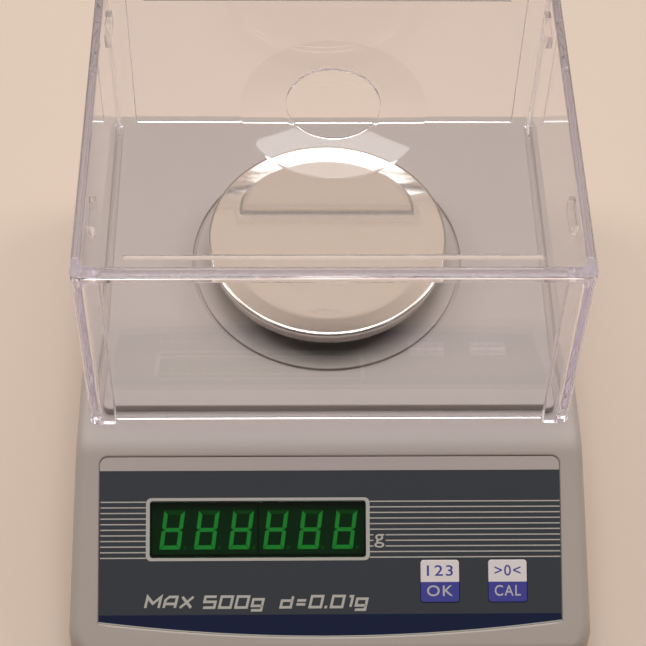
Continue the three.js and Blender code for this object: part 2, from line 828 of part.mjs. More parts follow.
function loadCell() {
  const beam = block(cellX, around(panAxisY, cellWidth), [cellBottom, cellTop]);
  const middleX = (cellX[0] + cellX[1]) / 2;
  const middleZ = (cellBottom + cellTop) / 2;
  const across = [panAxisY - cellWidth, panAxisY + cellWidth];
  const boreX = around(middleX, cellBoreSpacing);
  const bores = boreX.map((x) => rodY(cellBoreRadius, across, x, middleZ));
  const slot = block(boreX, across, around(middleZ, cellSlot));
  const hole = cellScrewRadius + glueGap;
  const freeHoles = freeScrewY.map((y) => rod(hole, [middleZ, cellTop + overrun], 0, y));
  const fixedHoles = fixedScrewX.map((x) => rod(hole, [cellBottom - overrun, middleZ], x, panAxisY));
  return cut(beam, ...bores, slot, ...freeHoles, ...fixedHoles);
}

function cellPlate() {
  const x = [cellX[0] - platePad, cellX[1] + platePad];
  const plate = block(x, around(panAxisY, cellWidth + 2 * platePad), [trayTop + seatGap, cellPlateTop]);
  const through = [trayTop - overrun, cellPlateTop + overrun];
  const sink = [trayTop - overrun, trayTop + seatGap + cellScrewHeadHeight];
  const holes = fixedScrewX.flatMap((place) => [
    rod(cellScrewRadius + glueGap, through, place, panAxisY),
    rod(cellScrewHead + glueGap, sink, place, panAxisY),
  ]);
  return cut(plate, ...holes, rod(stopRadius + glueGap, through, 0, panAxisY));
}

function cellSpacer() {
  const z = [cellPlateTop + seatGap, cellPlateTop + seatGap + spacerHeight];
  const spacer = block([cellX[0], cellX[0] + spacerLength], around(panAxisY, cellWidth), z);
  const through = [z[0] - overrun, z[1] + overrun];
  const holes = fixedScrewX.map((x) => rod(cellScrewRadius + glueGap, through, x, panAxisY));
  return cut(spacer, ...holes);
}

function screw(radius, headRadius, headHeight, z, x, y, headUp) {
  const headZ = headUp ? [z[1] - headHeight, z[1]] : [z[0], z[0] + headHeight];
  const headMiddle = (headZ[0] + headZ[1]) / 2;
  const socketZ = headUp ? [headMiddle, z[1] + overrun] : [z[0] - overrun, headMiddle];
  const whole = joined(rod(radius, z, x, y), rod(headRadius, headZ, x, y));
  return cut(whole, rod(radius / 2 + glueGap, socketZ, x, y, socketSides));
}

function overloadStop() {
  const top = cellBottom - panTravel - seatGap;
  const z = [cellPlateTop + seatGap, cellPlateTop + seatGap + stopFlangeHeight];
  const pin = rod(stopRadius, [trayTop + seatGap, top], 0, panAxisY);
  return joined(pin, rod(stopFlange, z, 0, panAxisY));
}

// Display board and its parts, in the panel's own group

function digitModule(side) {
  const width = digitsPerModule * digitPitch - 2 * moduleSideGap;
  const x = windowCentreX + (side * digitsPerModule * digitPitch) / 2;
  const z = [displayBoardTop + seatGap, moduleFront];
  return block(around(x, width), around(-windowCentreDown, moduleHeight), z);
}

function tactSwitch(x) {
  const bodyZ = [displayBoardTop + seatGap, displayBoardTop + seatGap + switchBody];
  const body = block(around(x, switchSize), around(-keyCentreDown, switchSize), bodyZ);
  return joined(body, rod(switchButtonRadius, [bodyZ[0], switchTop], x, -keyCentreDown));
}

function keyCap(x) {
  const stemZ = [switchTop + keyTravel + seatGap / 2, labelTop - keyThickness / 2];
  return joined(keyPlate(x, 0, [keyUnder, labelTop]), rod(keyStemRadius, stemZ, x, -keyCentreDown));
}

function displayWindow() {
  return windowPlate(-glueGap, [windowUnder, labelTop - glueGap]);
}

function frontLabel() {
  const z = [labelUnder - overrun, labelTop + overrun];
  const openings = keyCentresX.map((x) => keyPlate(x, seatGap, z));
  return cut(labelPlate(0, [labelUnder, labelTop]), windowPlate(glueGap, z), ...openings);
}

function displayBoard() {
  const z = [displayBoardTop - boardThickness, displayBoardTop];
  return block(around(0, displayBoardWidth), around(-displayBoardDown, displayBoardHeight), z);
}

function boardPost(x) {
  const down = displayBoardDown - displayBoardHeight / 2 + standoffInset;
  return rod(standoffRadius, [displayBoardTop + seatGap, pocketFloor - shellWall - seatGap], x, -down);
}

// Main board and its parts

function heatSink(x, y, z) {
  const base = block(around(x, heatSinkWidth), [y, y + heatSinkFin], [z, z + heatSinkHeight]);
  const pitch = (heatSinkWidth - heatSinkFin) / (heatSinkFins - 1);
  const fins = Array.from({ length: heatSinkFins }, (_, k) => {
    const start = x - heatSinkWidth / 2 + k * pitch;
    return block([start, start + heatSinkFin], [y, y + heatSinkDepth], [z, z + heatSinkHeight]);
  });
  return joined(base, ...fins);
}

function inlet() {
  const outerFace = bodyBack - shellWall - seatGap;
  const z = inletZ();
  const bodyY = [outerFace - inletDepth, outerFace];
  const body = block(around(inletX, inletWidth), bodyY, around(z, inletHeight));
  const collar = rodY(inletCollarRadius, [outerFace - inletDepth / 2, bodyBack - seatGap], inletX, z);
  const floor = bodyBack - inletBoreDepth;
  const bore = rodY(inletBoreRadius, [floor, bodyBack + overrun], inletX, z);
  const pin = rodY(inletPinRadius, [floor - overrun / 2, bodyBack - shellWall / 2], inletX, z);
  return joined(cut(joined(body, collar), bore), pin);
}

function rockerPivot() {
  return [bodyBack + frameLipThickness - rockerPivotBehindLip, trayTop + rockerRise];
}

function rockerFrame() {
  const [, z] = rockerPivot();
  const bodyY = [bodyBack - frameBodyDepth, bodyBack + frameLipThickness];
  const lipY = [bodyBack + seatGap / 2, bodyBack + frameLipThickness];
  const body = block(around(rockerX, frameWidth), bodyY, around(z, frameHeight));
  const lipX = around(rockerX, frameWidth + 2 * frameLip);
  const lip = block(lipX, lipY, around(z, frameHeight + 2 * frameLip));
  const roomY = [bodyBack - frameBodyDepth + frameWall, bodyBack + overrun];
  const roomX = around(rockerX, frameWidth - 2 * frameWall);
  const room = block(roomX, roomY, around(z, frameHeight - 2 * frameWall));
  const slots = block(
    around(rockerX, rockerAxleLength + 2 * seatGap),
    [rockerPivot()[0] - rockerAxleRadius - seatGap, bodyBack + overrun],
    around(z, 2 * (rockerAxleRadius + seatGap)),
  );
  const terminals = [-1, 1].map((side) =>
    block(
      around(rockerX, terminalThickness),
      [bodyY[0] - terminalLength, bodyY[0] + frameWall / 2],
      around(z + (side * terminalPitch) / 2, terminalWidth),
    ),
  );
  return joined(cut(joined(body, lip), room, slots), ...terminals);
}

function rocker() {
  const [y, z] = rockerPivot();
  const face = rockerEndProud + rockerPivotBehindLip;
  const shape = new THREE.Shape();
  shape.moveTo(-rockerHalfHeight, face);
  shape.lineTo(0, face - rockerMiddleDip);
  shape.lineTo(rockerHalfHeight, face);
  shape.lineTo(rockerHalfHeight, 0);
  shape.lineTo(rockerHalfHeight / 2, -rockerBelly);
  shape.lineTo(-rockerHalfHeight / 2, -rockerBelly);
  shape.lineTo(-rockerHalfHeight, 0);
  shape.closePath();
  const body = new THREE.ExtrudeGeometry(shape, { depth: rockerWidth, bevelEnabled: false });
  body.translate(0, 0, -rockerWidth / 2);
  body.rotateY(-Math.PI / 2);
  const axle = rodX(rockerAxleRadius, around(0, rockerAxleLength), 0, 0);
  const whole = asGeometry(joined(body, axle));
  return whole.rotateX(rockerTilt).translate(rockerX, y, z);
}

// Feet and screws

function levellingFoot(x, y) {
  const discZ = [footPadHeight + seatGap / 2, footPadHeight + seatGap / 2 + footDiscHeight];
  const disc = rod(footDiscRadius, discZ, x, y, roundSides);
  const stem = rod(footStemRadius, [discZ[0], discZ[1] + footStemLength], x, y);
  const grips = Array.from({ length: footGrips }, (_, k) => {
    const angle = (k / footGrips) * 2 * Math.PI;
    const reach = footDiscRadius + footGripDepth / 2;
    const z = [discZ[0] - overrun, discZ[1] + overrun];
    return rod(footGripDepth, z, x + reach * Math.cos(angle), y + reach * Math.sin(angle), gripSides);
  });
  return cut(joined(disc, stem), ...grips);
}

function footPad(x, y) {
  return rod(footPadRadius, [0, footPadHeight], x, y, roundSides);
}

// Cables

function ribbon() {
  const edge = headerDepth - displayBoardDown - displayBoardHeight / 2;
  const board = panelPoint(edge, displayBoardTop - boardThickness);
  const start = [board.y + headerDepth, board.z - headerHeight / 2];
  const low = trayTop + seatGap + ribbonThickness;
  const end = mainBoardY()[0] - seatGap - ribbonThickness;
  const path = [
    [start[0], start[1]],
    [start[0] + headerHeight, low],
    [end, low],
    [end, mainBoardZ() + boardThickness],
  ];
  const side = (sign) =>
    path.map(([y, z], i) => {
      const before = path[Math.max(i - 1, 0)];
      const after = path[Math.min(i + 1, path.length - 1)];
      const along = new THREE.Vector2(after[0] - before[0], after[1] - before[1]).normalize();
      return [y - sign * along.y * ribbonThickness / 2, z + sign * along.x * ribbonThickness / 2];
    });
  const outline = [...side(1), ...side(-1).reverse()];
  const ring = (x) => outline.map(([y, z]) => new THREE.Vector3(x, y, z));
  const [x0, x1] = around(ribbonX, ribbonWidth);
  return loft([ring(x0), ring(x1)], (p) => new THREE.Vector2(p.y, p.z));
}

function panelPoint(y, z) {
  return new THREE.Vector3(0, y, z).applyMatrix4(panel.matrixWorld);
}

function cellLead() {
  const start = new THREE.Vector3(cellX[0] - seatGap, panAxisY + cellWidth / 4, (cellBottom + cellTop) / 2);
  const boardEdge = mainBoardY()[0] - seatGap;
  const end = new THREE.Vector3(cellX[0] - platePad, boardEdge, mainBoardZ() + boardThickness / 2);
  const out = new THREE.Vector3(cellX[0] - platePad, start.y, start.z);
  const curve = new THREE.CatmullRomCurve3([start, out, end]);
  const section = new THREE.Shape().absarc(0, 0, leadRadius, 0, 2 * Math.PI, false);
  const settings = { steps: leadSteps, extrudePath: curve, curveSegments: arcSteps };
  return outward(new THREE.ExtrudeGeometry(section, settings));
}

// Finishes

function finish(color, roughness, metalness, more = {}) {
  return new THREE.MeshStandardMaterial({ color, roughness, metalness, ...more });
}

const finishes = {
  casing: () => finish("#aea69a", 0.5, 0),
  trayGrey: () => finish("#9d958a", 0.55, 0),
  label: () => finish("#3a3e44", 0.35, 0),
  filter: () => finish("#0a2819", 0.1, 0),
  keyWhite: () => finish("#cdbcc0", 0.45, 0),
  clear: () => finish("#e9e4ee", 0.05, 0, { transparent: true, opacity: 0.35 }),
  steel: () => finish("#c9c4bd", 0.15, 1),
  alloy: () => finish("#b9bbbd", 0.4, 1),
  castAlloy: () => finish("#8f9194", 0.6, 0.8),
  black: () => finish("#1c1c1e", 0.5, 0),
  rubber: () => finish("#242424", 0.9, 0),
  board: () => finish("#1f5a36", 0.45, 0),
  can: () => finish("#c4c6c8", 0.3, 1),
  digits: () => finish("#20302a", 0.4, 0),
  cable: () => finish("#8c8c90", 0.6, 0),
};

const balance = new THREE.Group();

function add(name, shape, finishName, group = balance) {
  const mesh = new THREE.Mesh(asGeometry(shape), finishes[finishName]());
  mesh.name = name;
  group.add(mesh);
}

// Assembly

balance.add(panel);
add("lower_housing", lowerHousing(), "trayGrey");
add("upper_housing", upperHousing(), "casing");
add("front_label", frontLabel(), "label", panel);
add("display_window", displayWindow(), "filter", panel);
add("display_board", displayBoard(), "board", panel);
add("digit_module_left", digitModule(-1), "digits", panel);
add("digit_module_right", digitModule(1), "digits", panel);
["left", "right"].forEach((side, k) => {
  add(`key_${side}`, keyCap(keyCentresX[k]), "keyWhite", panel);
  add(`key_switch_${side}`, tactSwitch(keyCentresX[k]), "black", panel);
  const postX = (2 * k - 1) * (displayBoardWidth / 2 - standoffInset);
  add(`board_post_${side}`, boardPost(postX), "alloy", panel);
});

const mainY = mainBoardY();
const onBoard = mainBoardZ() + boardThickness + seatGap;
const boardMiddle = (mainY[0] + mainY[1]) / 2;
const boardX = around(mainBoardX, mainBoardWidth);
add("main_board", block(boardX, mainY, [mainBoardZ(), mainBoardZ() + boardThickness]), "board");
const chip = around(boardMiddle, processorSize);
const chipX = around(mainBoardX, processorSize);
add("processor_chip", block(chipX, chip, [onBoard, onBoard + processorHeight]), "black");
const canX = around(mainBoardX + mainBoardWidth / 4, canWidth);
const canY = around(boardMiddle, canDepth);
add("converter_can", block(canX, canY, [onBoard, onBoard + canHeight]), "can");
const capacitorPlace = [inletX + canDepth, mainY[1] - canDepth / 2];
const capacitor = rod(capacitorRadius, [onBoard, onBoard + capacitorHeight], ...capacitorPlace);
add("reservoir_capacitor", capacitor, "black");
const sink = heatSink(mainBoardX - mainBoardWidth / 4, mainY[0] + headerDepth, onBoard);
add("heat_sink", sink, "alloy");
const headerY = [mainY[0] + seatGap, mainY[0] + headerDepth];
const header = block(around(ribbonX, headerWidth), headerY, [onBoard, onBoard + headerHeight]);
add("board_header", header, "black");
add("display_ribbon", ribbon(), "cable");
add("power_inlet", inlet(), "black");
add("rocker_frame", rockerFrame(), "black");
add("power_rocker", rocker(), "black");

add("load_cell", loadCell(), "alloy");
add("cell_plate", cellPlate(), "castAlloy");
add("cell_spacer", cellSpacer(), "alloy");
add("cell_lead", cellLead(), "cable");
add("overload_stop", overloadStop(), "steel");
const fixedZ = [trayTop + seatGap + glueGap, cellPlateTop + spacerHeight + cellHeight / 3];
const fixedHead = [cellScrewHead, cellScrewHeadHeight - seatGap];
["left", "right"].forEach((side, k) => {
  const fixed = screw(cellScrewRadius, ...fixedHead, fixedZ, fixedScrewX[k], panAxisY, false);
  add(`cell_screw_${side}`, fixed, "steel");
});
const freeZ = [cellTop - cellHeight / 3, supportBottom + supportFlangeHeight + seatGap];
["front", "back"].forEach((side, k) => {
  const free = screw(cellScrewRadius, cellScrewHead, cellScrewHeadHeight, freeZ, 0, freeScrewY[k], true);
  add(`support_screw_${side}`, free, "steel");
});
add("pan_support", panSupport(), "alloy");
add("weighing_pan", weighingPan(), "steel");

for (const [place, sx, sy] of corners) add(`shield_post_${place}`, shieldPost(sx, sy), "clear");
add("shield_front", shieldPanel(true, -1), "clear");
add("shield_back", shieldPanel(true, 1), "clear");
add("shield_left", shieldPanel(false, -1), "clear");
add("shield_right", shieldPanel(false, 1), "clear");
add("shield_lid", shieldLid(), "clear");

const caseScrewZ = [casingBottom + glueGap, casingBottom + caseScrewLength];
const caseHead = [caseScrewHead, caseScrewHeadHeight - seatGap];
corners.forEach(([place], k) => {
  add(`levelling_foot_${place}`, levellingFoot(...footPlaces[k]), "black");
  add(`foot_pad_${place}`, footPad(...footPlaces[k]), "rubber");
  const caseScrew = screw(caseScrewRadius, ...caseHead, caseScrewZ, ...screwPlaces[k], false);
  add(`casing_screw_${place}`, caseScrew, "steel");
});

export default balance;
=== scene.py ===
# Electronic balance with a clear draft shield: looks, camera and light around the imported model.
# Meshes are drawn in millimetres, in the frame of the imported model, and stored in metres.
from math import asin, atan2, cos, pi, radians, sin, sqrt, tan

import bmesh
import bpy
from mathutils import Matrix, Vector


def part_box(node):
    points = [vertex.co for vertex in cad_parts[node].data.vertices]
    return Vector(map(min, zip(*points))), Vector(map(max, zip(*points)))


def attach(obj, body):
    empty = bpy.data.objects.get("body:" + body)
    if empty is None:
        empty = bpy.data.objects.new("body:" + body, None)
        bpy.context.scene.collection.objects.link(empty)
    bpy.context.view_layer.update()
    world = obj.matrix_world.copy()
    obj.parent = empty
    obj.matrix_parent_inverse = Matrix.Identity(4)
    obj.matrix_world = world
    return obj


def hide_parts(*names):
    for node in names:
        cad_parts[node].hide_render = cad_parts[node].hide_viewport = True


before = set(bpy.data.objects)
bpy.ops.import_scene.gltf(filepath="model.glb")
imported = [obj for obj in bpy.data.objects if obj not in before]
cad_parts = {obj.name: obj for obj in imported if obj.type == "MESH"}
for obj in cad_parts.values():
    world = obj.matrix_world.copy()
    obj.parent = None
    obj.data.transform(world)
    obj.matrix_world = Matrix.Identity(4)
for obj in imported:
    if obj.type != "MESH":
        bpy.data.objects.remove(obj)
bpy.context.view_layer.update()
scene = bpy.context.scene
mm = 0.001
cut = 4  # how far a cutter reaches past what it cuts
sliver = 0.01  # flat left between the two halves of a round end
print("frame loaded")


def nodeBox(name):
    low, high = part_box(name)
    return low / mm, high / mm


def colour(red, green, blue, alpha=1.0):  # 0-255 display values to what a socket takes
    def straight(value):
        share = value / 255
        return share / 12.92 if share <= 0.04045 else ((share + 0.055) / 1.055) ** 2.4

    return (straight(red), straight(green), straight(blue), alpha)


# Camera: 646 x 646 picture, 54 degrees down on the balance
camera = {
    "lens": 92.18,
    "sensor": 36,
    "place": (-15.6, -381.35, 596.0),
    "pitch": radians(54.32),
    "yaw": radians(2.045),
    "roll": radians(1.555),
    "clip": (0.02, 20),
}


def makeCamera(spec):
    data = bpy.data.cameras.new("camera")
    data.lens = spec["lens"]
    data.sensor_width = spec["sensor"]
    data.clip_start, data.clip_end = spec["clip"]
    eye = bpy.data.objects.new("camera", data)
    scene.collection.objects.link(eye)
    pitch, yaw, roll = spec["pitch"], spec["yaw"], spec["roll"]
    ahead = Vector((sin(yaw) * cos(pitch), cos(yaw) * cos(pitch), -sin(pitch)))
    right = Vector((cos(yaw), -sin(yaw), 0))
    above = right.cross(ahead)
    turnedRight = right * cos(roll) + above * sin(roll)
    turnedUp = above * cos(roll) - right * sin(roll)
    eye.matrix_world = Matrix.Translation(Vector(spec["place"]) * mm) @ Matrix(
        (turnedRight, turnedUp, -ahead)
    ).transposed().to_4x4()
    scene.camera = eye


makeCamera(camera)


# Node tools
def newMaterial(name):
    material = bpy.data.materials.new(name)
    material.use_nodes = True
    tree = material.node_tree
    tree.nodes.clear()
    output = tree.nodes.new("ShaderNodeOutputMaterial")
    shader = tree.nodes.new("ShaderNodeBsdfPrincipled")
    tree.links.new(shader.outputs["BSDF"], output.inputs["Surface"])
    return material, tree, shader


def objectSpace(tree):
    return tree.nodes.new("ShaderNodeTexCoord").outputs["Object"]


def newGroup(name, inputs, outputs):
    group = bpy.data.node_groups.new(name, "ShaderNodeTree")
    for label, kind, value in inputs:
        socket = group.interface.new_socket(label, in_out="INPUT", socket_type=kind)
        if value is not None:
            socket.default_value = value
    for label, kind in outputs:
        group.interface.new_socket(label, in_out="OUTPUT", socket_type=kind)
    return group, group.nodes.new("NodeGroupInput"), group.nodes.new("NodeGroupOutput")


def feed(tree, socket, value):  # a link, or a fixed value
    if isinstance(value, bpy.types.NodeSocket):
        tree.links.new(value, socket)
    elif value is not None:
        socket.default_value = value


def place(tree, group, **values):
    node = tree.nodes.new("ShaderNodeGroup")
    node.node_tree = group
    for label, value in values.items():
        feed(tree, node.inputs[label], value)
    return node


def math(tree, operation, first, second=None):
    node = tree.nodes.new("ShaderNodeMath")
    node.operation = operation
    for socket, value in zip(node.inputs, (first, second)):
        feed(tree, socket, value)
    return node.outputs[0]


def vectorMath(tree, operation, first, second=None):
    node = tree.nodes.new("ShaderNodeVectorMath")
    node.operation = operation
    for socket, value in zip(node.inputs, (first, second)):
        feed(tree, socket, value)
    return node.outputs["Value" if operation == "LENGTH" else "Vector"]


def axes(tree, vector):
    node = tree.nodes.new("ShaderNodeSeparateXYZ")
    tree.links.new(vector, node.inputs[0])
    return node.outputs


def mixShader(tree, share, first, second):
    node = tree.nodes.new("ShaderNodeMixShader")
    for socket, value in zip(node.inputs, (share, first, second)):
        tree.links.new(value, socket)
    return node.outputs[0]


def mixColour(tree, share, first, second, blend="MIX"):
    node = tree.nodes.new("ShaderNodeMix")
    node.data_type = "RGBA"
    node.blend_type = blend
    for k, value in ((0, share), (6, first), (7, second)):
        feed(tree, node.inputs[k], value)
    return node.outputs[2]


def noise(tree, vector, scale, detail=2.0, roughness=0.5):
    node = tree.nodes.new("ShaderNodeTexNoise")
    tree.links.new(vector, node.inputs["Vector"])
    for label, value in (("Scale", scale), ("Detail", detail), ("Roughness", roughness)):
        feed(tree, node.inputs[label], value)
    return node.outputs["Fac"]


def spread(tree, value, low, high):  # 0-1 noise to a range
    node = tree.nodes.new("ShaderNodeMapRange")
    tree.links.new(value, node.inputs["Value"])
    node.inputs["To Min"].default_value = low
    node.inputs["To Max"].default_value = high
    return node.outputs["Result"]


def bump(tree, height, strength, distance):
    node = tree.nodes.new("ShaderNodeBump")
    node.inputs["Strength"].default_value = strength
    node.inputs["Distance"].default_value = distance
    tree.links.new(height, node.inputs["Height"])
    return node.outputs["Normal"]


# Light and surroundings: a pale table and soft lamps, with a darker room in front and low behind
studio = {
    "backdrop": colour(224, 204, 187),
    "floor": colour(224, 203, 186),
    "ambient": (1.0, 0.985, 0.97, 1),
    "ambientTurn": (0.25, 1.0),
    "roomFront": colour(100, 94, 90),
    "roomLow": colour(150, 136, 126),
    "frontTurn": (0.05, -0.3),
    "lowTurn": (0.75, 0.6),
    "mottle": 0.98,
    "floorSize": 5000,
    "bounces": 64,
    "lamps": [
        # name, place, aimed at, width, depth, watts, colour
        ("backSoft", (42, 682, 1515), (0, 30, 150), 800, 430, 2.6, (1.0, 0.98, 0.96)),
        ("overhead", (0, 150, 1750), (0, 20, 60), 900, 900, 9.8, (1.0, 0.98, 0.96)),
        ("leftSoft", (-1350, 520, 1400), (0, 0, 60), 800, 800, 7.6, (1.0, 0.98, 0.96)),
        ("rightSoft", (1350, 520, 1400), (0, 0, 60), 800, 800, 7.2, (1.0, 0.98, 0.96)),
    ],
}


def ramp(tree, value, start, end):  # 0 at start, 1 at end
    node = tree.nodes.new("ShaderNodeMapRange")
    node.interpolation_type = "SMOOTHSTEP"
    tree.links.new(value, node.inputs["Value"])
    node.inputs["From Min"].default_value = start
    node.inputs["From Max"].default_value = end
    return node.outputs["Result"]


def makeStudio(spec):
    world = bpy.data.worlds.new("studio")
    scene.world = world
    world.use_nodes = True
    tree = world.node_tree
    tree.nodes.clear()
    output = tree.nodes.new("ShaderNodeOutputWorld")
    soft = tree.nodes.new("ShaderNodeBackground")
    soft.inputs["Color"].default_value = spec["ambient"]
    seen = tree.nodes.new("ShaderNodeBackground")
    path = tree.nodes.new("ShaderNodeLightPath").outputs
    towards = axes(tree, tree.nodes.new("ShaderNodeTexCoord").outputs["Generated"])
    low = ramp(tree, towards["Z"], *spec["lowTurn"])
    front = ramp(tree, towards["Y"], *spec["frontTurn"])
    high = ramp(tree, towards["Z"], *spec["ambientTurn"])
    strength = math(tree, "MULTIPLY", high, math(tree, "SUBTRACT", 1.0, front))
    tree.links.new(strength, soft.inputs["Strength"])
    room = mixColour(tree, low, spec["backdrop"], spec["roomLow"])
    room = mixColour(tree, front, room, spec["roomFront"])
    shade = mixColour(tree, path["Is Glossy Ray"], spec["backdrop"], room)
    tree.links.new(shade, seen.inputs["Color"])
    shown = math(tree, "MAXIMUM", path["Is Camera Ray"], path["Is Glossy Ray"])
    shown = math(tree, "MAXIMUM", shown, path["Is Transmission Ray"])
    direct = math(tree, "LESS_THAN", path["Diffuse Depth"], 0.5)
    surface = mixShader(tree, math(tree, "MULTIPLY", shown, direct), soft.outputs[0], seen.outputs[0])
    tree.links.new(surface, output.inputs["Surface"])
    for name, stand, target, width, depth, watts, tint in spec["lamps"]:
        data = bpy.data.lights.new(name, "AREA")
        data.shape = "RECTANGLE"
        data.size = width * mm
        data.size_y = depth * mm
        data.energy = watts
        data.color = tint
        lamp = bpy.data.objects.new(name, data)
        lamp.location = Vector(stand) * mm
        lamp.rotation_euler = (Vector(target) - Vector(stand)).to_track_quat("-Z", "Y").to_euler()
        scene.collection.objects.link(lamp)


makeStudio(studio)
for kind in ("max_bounces", "glossy_bounces", "transmission_bounces", "transparent_max_bounces"):
    setattr(scene.cycles, kind, studio["bounces"])  # light runs far inside clear plastic
scene.view_settings.view_transform = "Standard"
print("camera and studio made")


# Shared effects: moulded grain with a slow drift of tone, and the lay of worked metal
def makeGrainGroup():
    inputs = [
        ("Vector", "NodeSocketVector", None),
        ("Colour", "NodeSocketColor", (0.5, 0.5, 0.5, 1)),
        ("Drift", "NodeSocketFloat", 0.04),
        ("Grain Scale", "NodeSocketFloat", 2500),
        ("Roughness", "NodeSocketFloat", 0.5),
        ("Roughness Drift", "NodeSocketFloat", 0.06),
    ]
    outputs = [
        ("Colour", "NodeSocketColor"),
        ("Roughness", "NodeSocketFloat"),
        ("Height", "NodeSocketFloat"),
    ]
    group, given, made = newGroup("mouldedGrain", inputs, outputs)
    vector = given.outputs["Vector"]
    slow = noise(group, vector, 14, 3)
    fine = noise(group, vector, given.outputs["Grain Scale"], 2, 0.6)
    swing = math(group, "MULTIPLY", math(group, "SUBTRACT", slow, 0.5), given.outputs["Drift"])
    level = math(group, "ADD", swing, 1.0)
    tone = group.nodes.new("ShaderNodeCombineColor")
    for k in range(3):
        group.links.new(level, tone.inputs[k])
    shade = mixColour(group, 1.0, given.outputs["Colour"], tone.outputs[0], "MULTIPLY")
    group.links.new(shade, made.inputs["Colour"])
    wander = math(group, "MULTIPLY", math(group, "SUBTRACT", fine, 0.5), given.outputs["Roughness Drift"])
    group.links.new(math(group, "ADD", given.outputs["Roughness"], wander), made.inputs["Roughness"])
    group.links.new(fine, made.inputs["Height"])
    return group


def makeLayGroup():
    inputs = [
        ("Vector", "NodeSocketVector", None),
        ("Stretch", "NodeSocketVector", (30, 1500, 1500)),
        ("Roughness", "NodeSocketFloat", 0.25),
        ("Roughness Drift", "NodeSocketFloat", 0.1),
    ]
    outputs = [("Roughness", "NodeSocketFloat"), ("Height", "NodeSocketFloat")]
    group, given, made = newGroup("metalLay", inputs, outputs)
    stretched = vectorMath(group, "MULTIPLY", given.outputs["Vector"], given.outputs["Stretch"])
    lines = noise(group, stretched, 1, 3, 0.6)
    wander = math(group, "MULTIPLY", math(group, "SUBTRACT", lines, 0.5), given.outputs["Roughness Drift"])
    group.links.new(math(group, "ADD", given.outputs["Roughness"], wander), made.inputs["Roughness"])
    group.links.new(lines, made.inputs["Height"])
    return group


grainGroup = makeGrainGroup()
layGroup = makeLayGroup()


def grained(tree, shader, tint, roughness, drift=0.04, grain=2500, depth=0.0, relief=0.00003):
    effect = place(
        tree, grainGroup, Vector=objectSpace(tree), Colour=tint, Drift=drift, Roughness=roughness,
        **{"Grain Scale": grain},
    )
    tree.links.new(effect.outputs["Colour"], shader.inputs["Base Color"])
    tree.links.new(effect.outputs["Roughness"], shader.inputs["Roughness"])
    if depth:
        tree.links.new(bump(tree, effect.outputs["Height"], depth, relief), shader.inputs["Normal"])


def mouldedPlastic(name, tint, roughness, grain=2500, depth=0.25):
    material, tree, shader = newMaterial(name)
    grained(tree, shader, tint, roughness, 0.05, grain, depth, 0.00005)
    shader.inputs["IOR"].default_value = 1.5
    return material


def workedMetal(name, tint, roughness, stretch, depth=0.1, drift=0.12):
    material, tree, shader = newMaterial(name)
    effect = place(
        tree, layGroup, Vector=objectSpace(tree), Stretch=stretch, Roughness=roughness,
        **{"Roughness Drift": drift},
    )
    link = tree.links.new
    shader.inputs["Base Color"].default_value = tint
    shader.inputs["Metallic"].default_value = 1
    link(effect.outputs["Roughness"], shader.inputs["Roughness"])
    link(bump(tree, effect.outputs["Height"], depth, 0.00003), shader.inputs["Normal"])
    return material


def clearPlastic(name, spec):
    material, tree, shader = newMaterial(name)
    link = tree.links.new
    shader.inputs["Base Color"].default_value = spec["tint"]
    shader.inputs["Transmission Weight"].default_value = 1
    shader.inputs["IOR"].default_value = spec["bend"]
    haze = noise(tree, objectSpace(tree), spec["hazeScale"], 3)
    link(spread(tree, haze, *spec["roughness"]), shader.inputs["Roughness"])
    output = shader.outputs["BSDF"].links[0].to_node
    path = tree.nodes.new("ShaderNodeLightPath")
    through = tree.nodes.new("ShaderNodeBsdfTransparent")
    through.inputs["Color"].default_value = spec["shadow"]
    surface = shader.outputs["BSDF"]
    for ray in ("Is Diffuse Ray", "Is Shadow Ray"):  # scattered light and lamp light go straight through
        surface = mixShader(tree, path.outputs[ray], surface, through.outputs["BSDF"])
    link(surface, output.inputs["Surface"])
    if spec.get("density"):
        soak = tree.nodes.new("ShaderNodeVolumeAbsorption")
        soak.inputs["Color"].default_value = spec["soak"]
        soak.inputs["Density"].default_value = spec["density"]
        link(soak.outputs["Volume"], output.inputs["Volume"])
    return material


clearSheet = {
    "tint": (0.985, 0.98, 0.99, 1),
    "shadow": (0.95, 0.945, 0.96, 1),
    "bend": 1.5,
    "roughness": (0.0, 0.03),
    "hazeScale": 60,
    "soak": (0.80, 0.73, 1.0, 1),
    "density": 3.6,
}
finishes = {
    "casing": mouldedPlastic("casingPlastic", colour(185, 173, 164), 0.42, 2200, 0.35),
    "tray": mouldedPlastic("trayPlastic", colour(170, 158, 148), 0.48, 2000, 0.4),
    "black": mouldedPlastic("blackPlastic", colour(30, 30, 31), 0.42, 2600, 0.3),
    "rocker": mouldedPlastic("rockerPlastic", colour(24, 24, 26), 0.22, 1800, 0.1),
    "rubber": mouldedPlastic("footRubber", colour(36, 35, 34), 0.8, 1500, 0.6),
    "cable": mouldedPlastic("cableGrey", colour(146, 146, 150), 0.5, 1800, 0.3),
    "steel": workedMetal("panSteel", colour(230, 227, 223), 0.07, (500, 500, 500), 0.01, 0.04),
    "screw": workedMetal("screwSteel", colour(198, 198, 196), 0.3, (900, 900, 200)),
    "tin": workedMetal("tinnedSteel", colour(205, 206, 208), 0.28, (60, 1400, 1400)),
    "alloy": workedMetal("milledAlloy", colour(196, 198, 200), 0.36, (80, 1200, 1200), 0.15),
    "cast": workedMetal("castAlloy", colour(158, 160, 162), 0.55, (700, 700, 700), 0.5, 0.2),
    "clear": clearPlastic("clearPlastic", clearSheet),
}


board = {
    "Scale": 180,
    "Mortar Size": 0.03,
    "Color1": colour(28, 92, 52),
    "Color2": colour(32, 100, 58),
    "Mortar": colour(52, 128, 76),
}


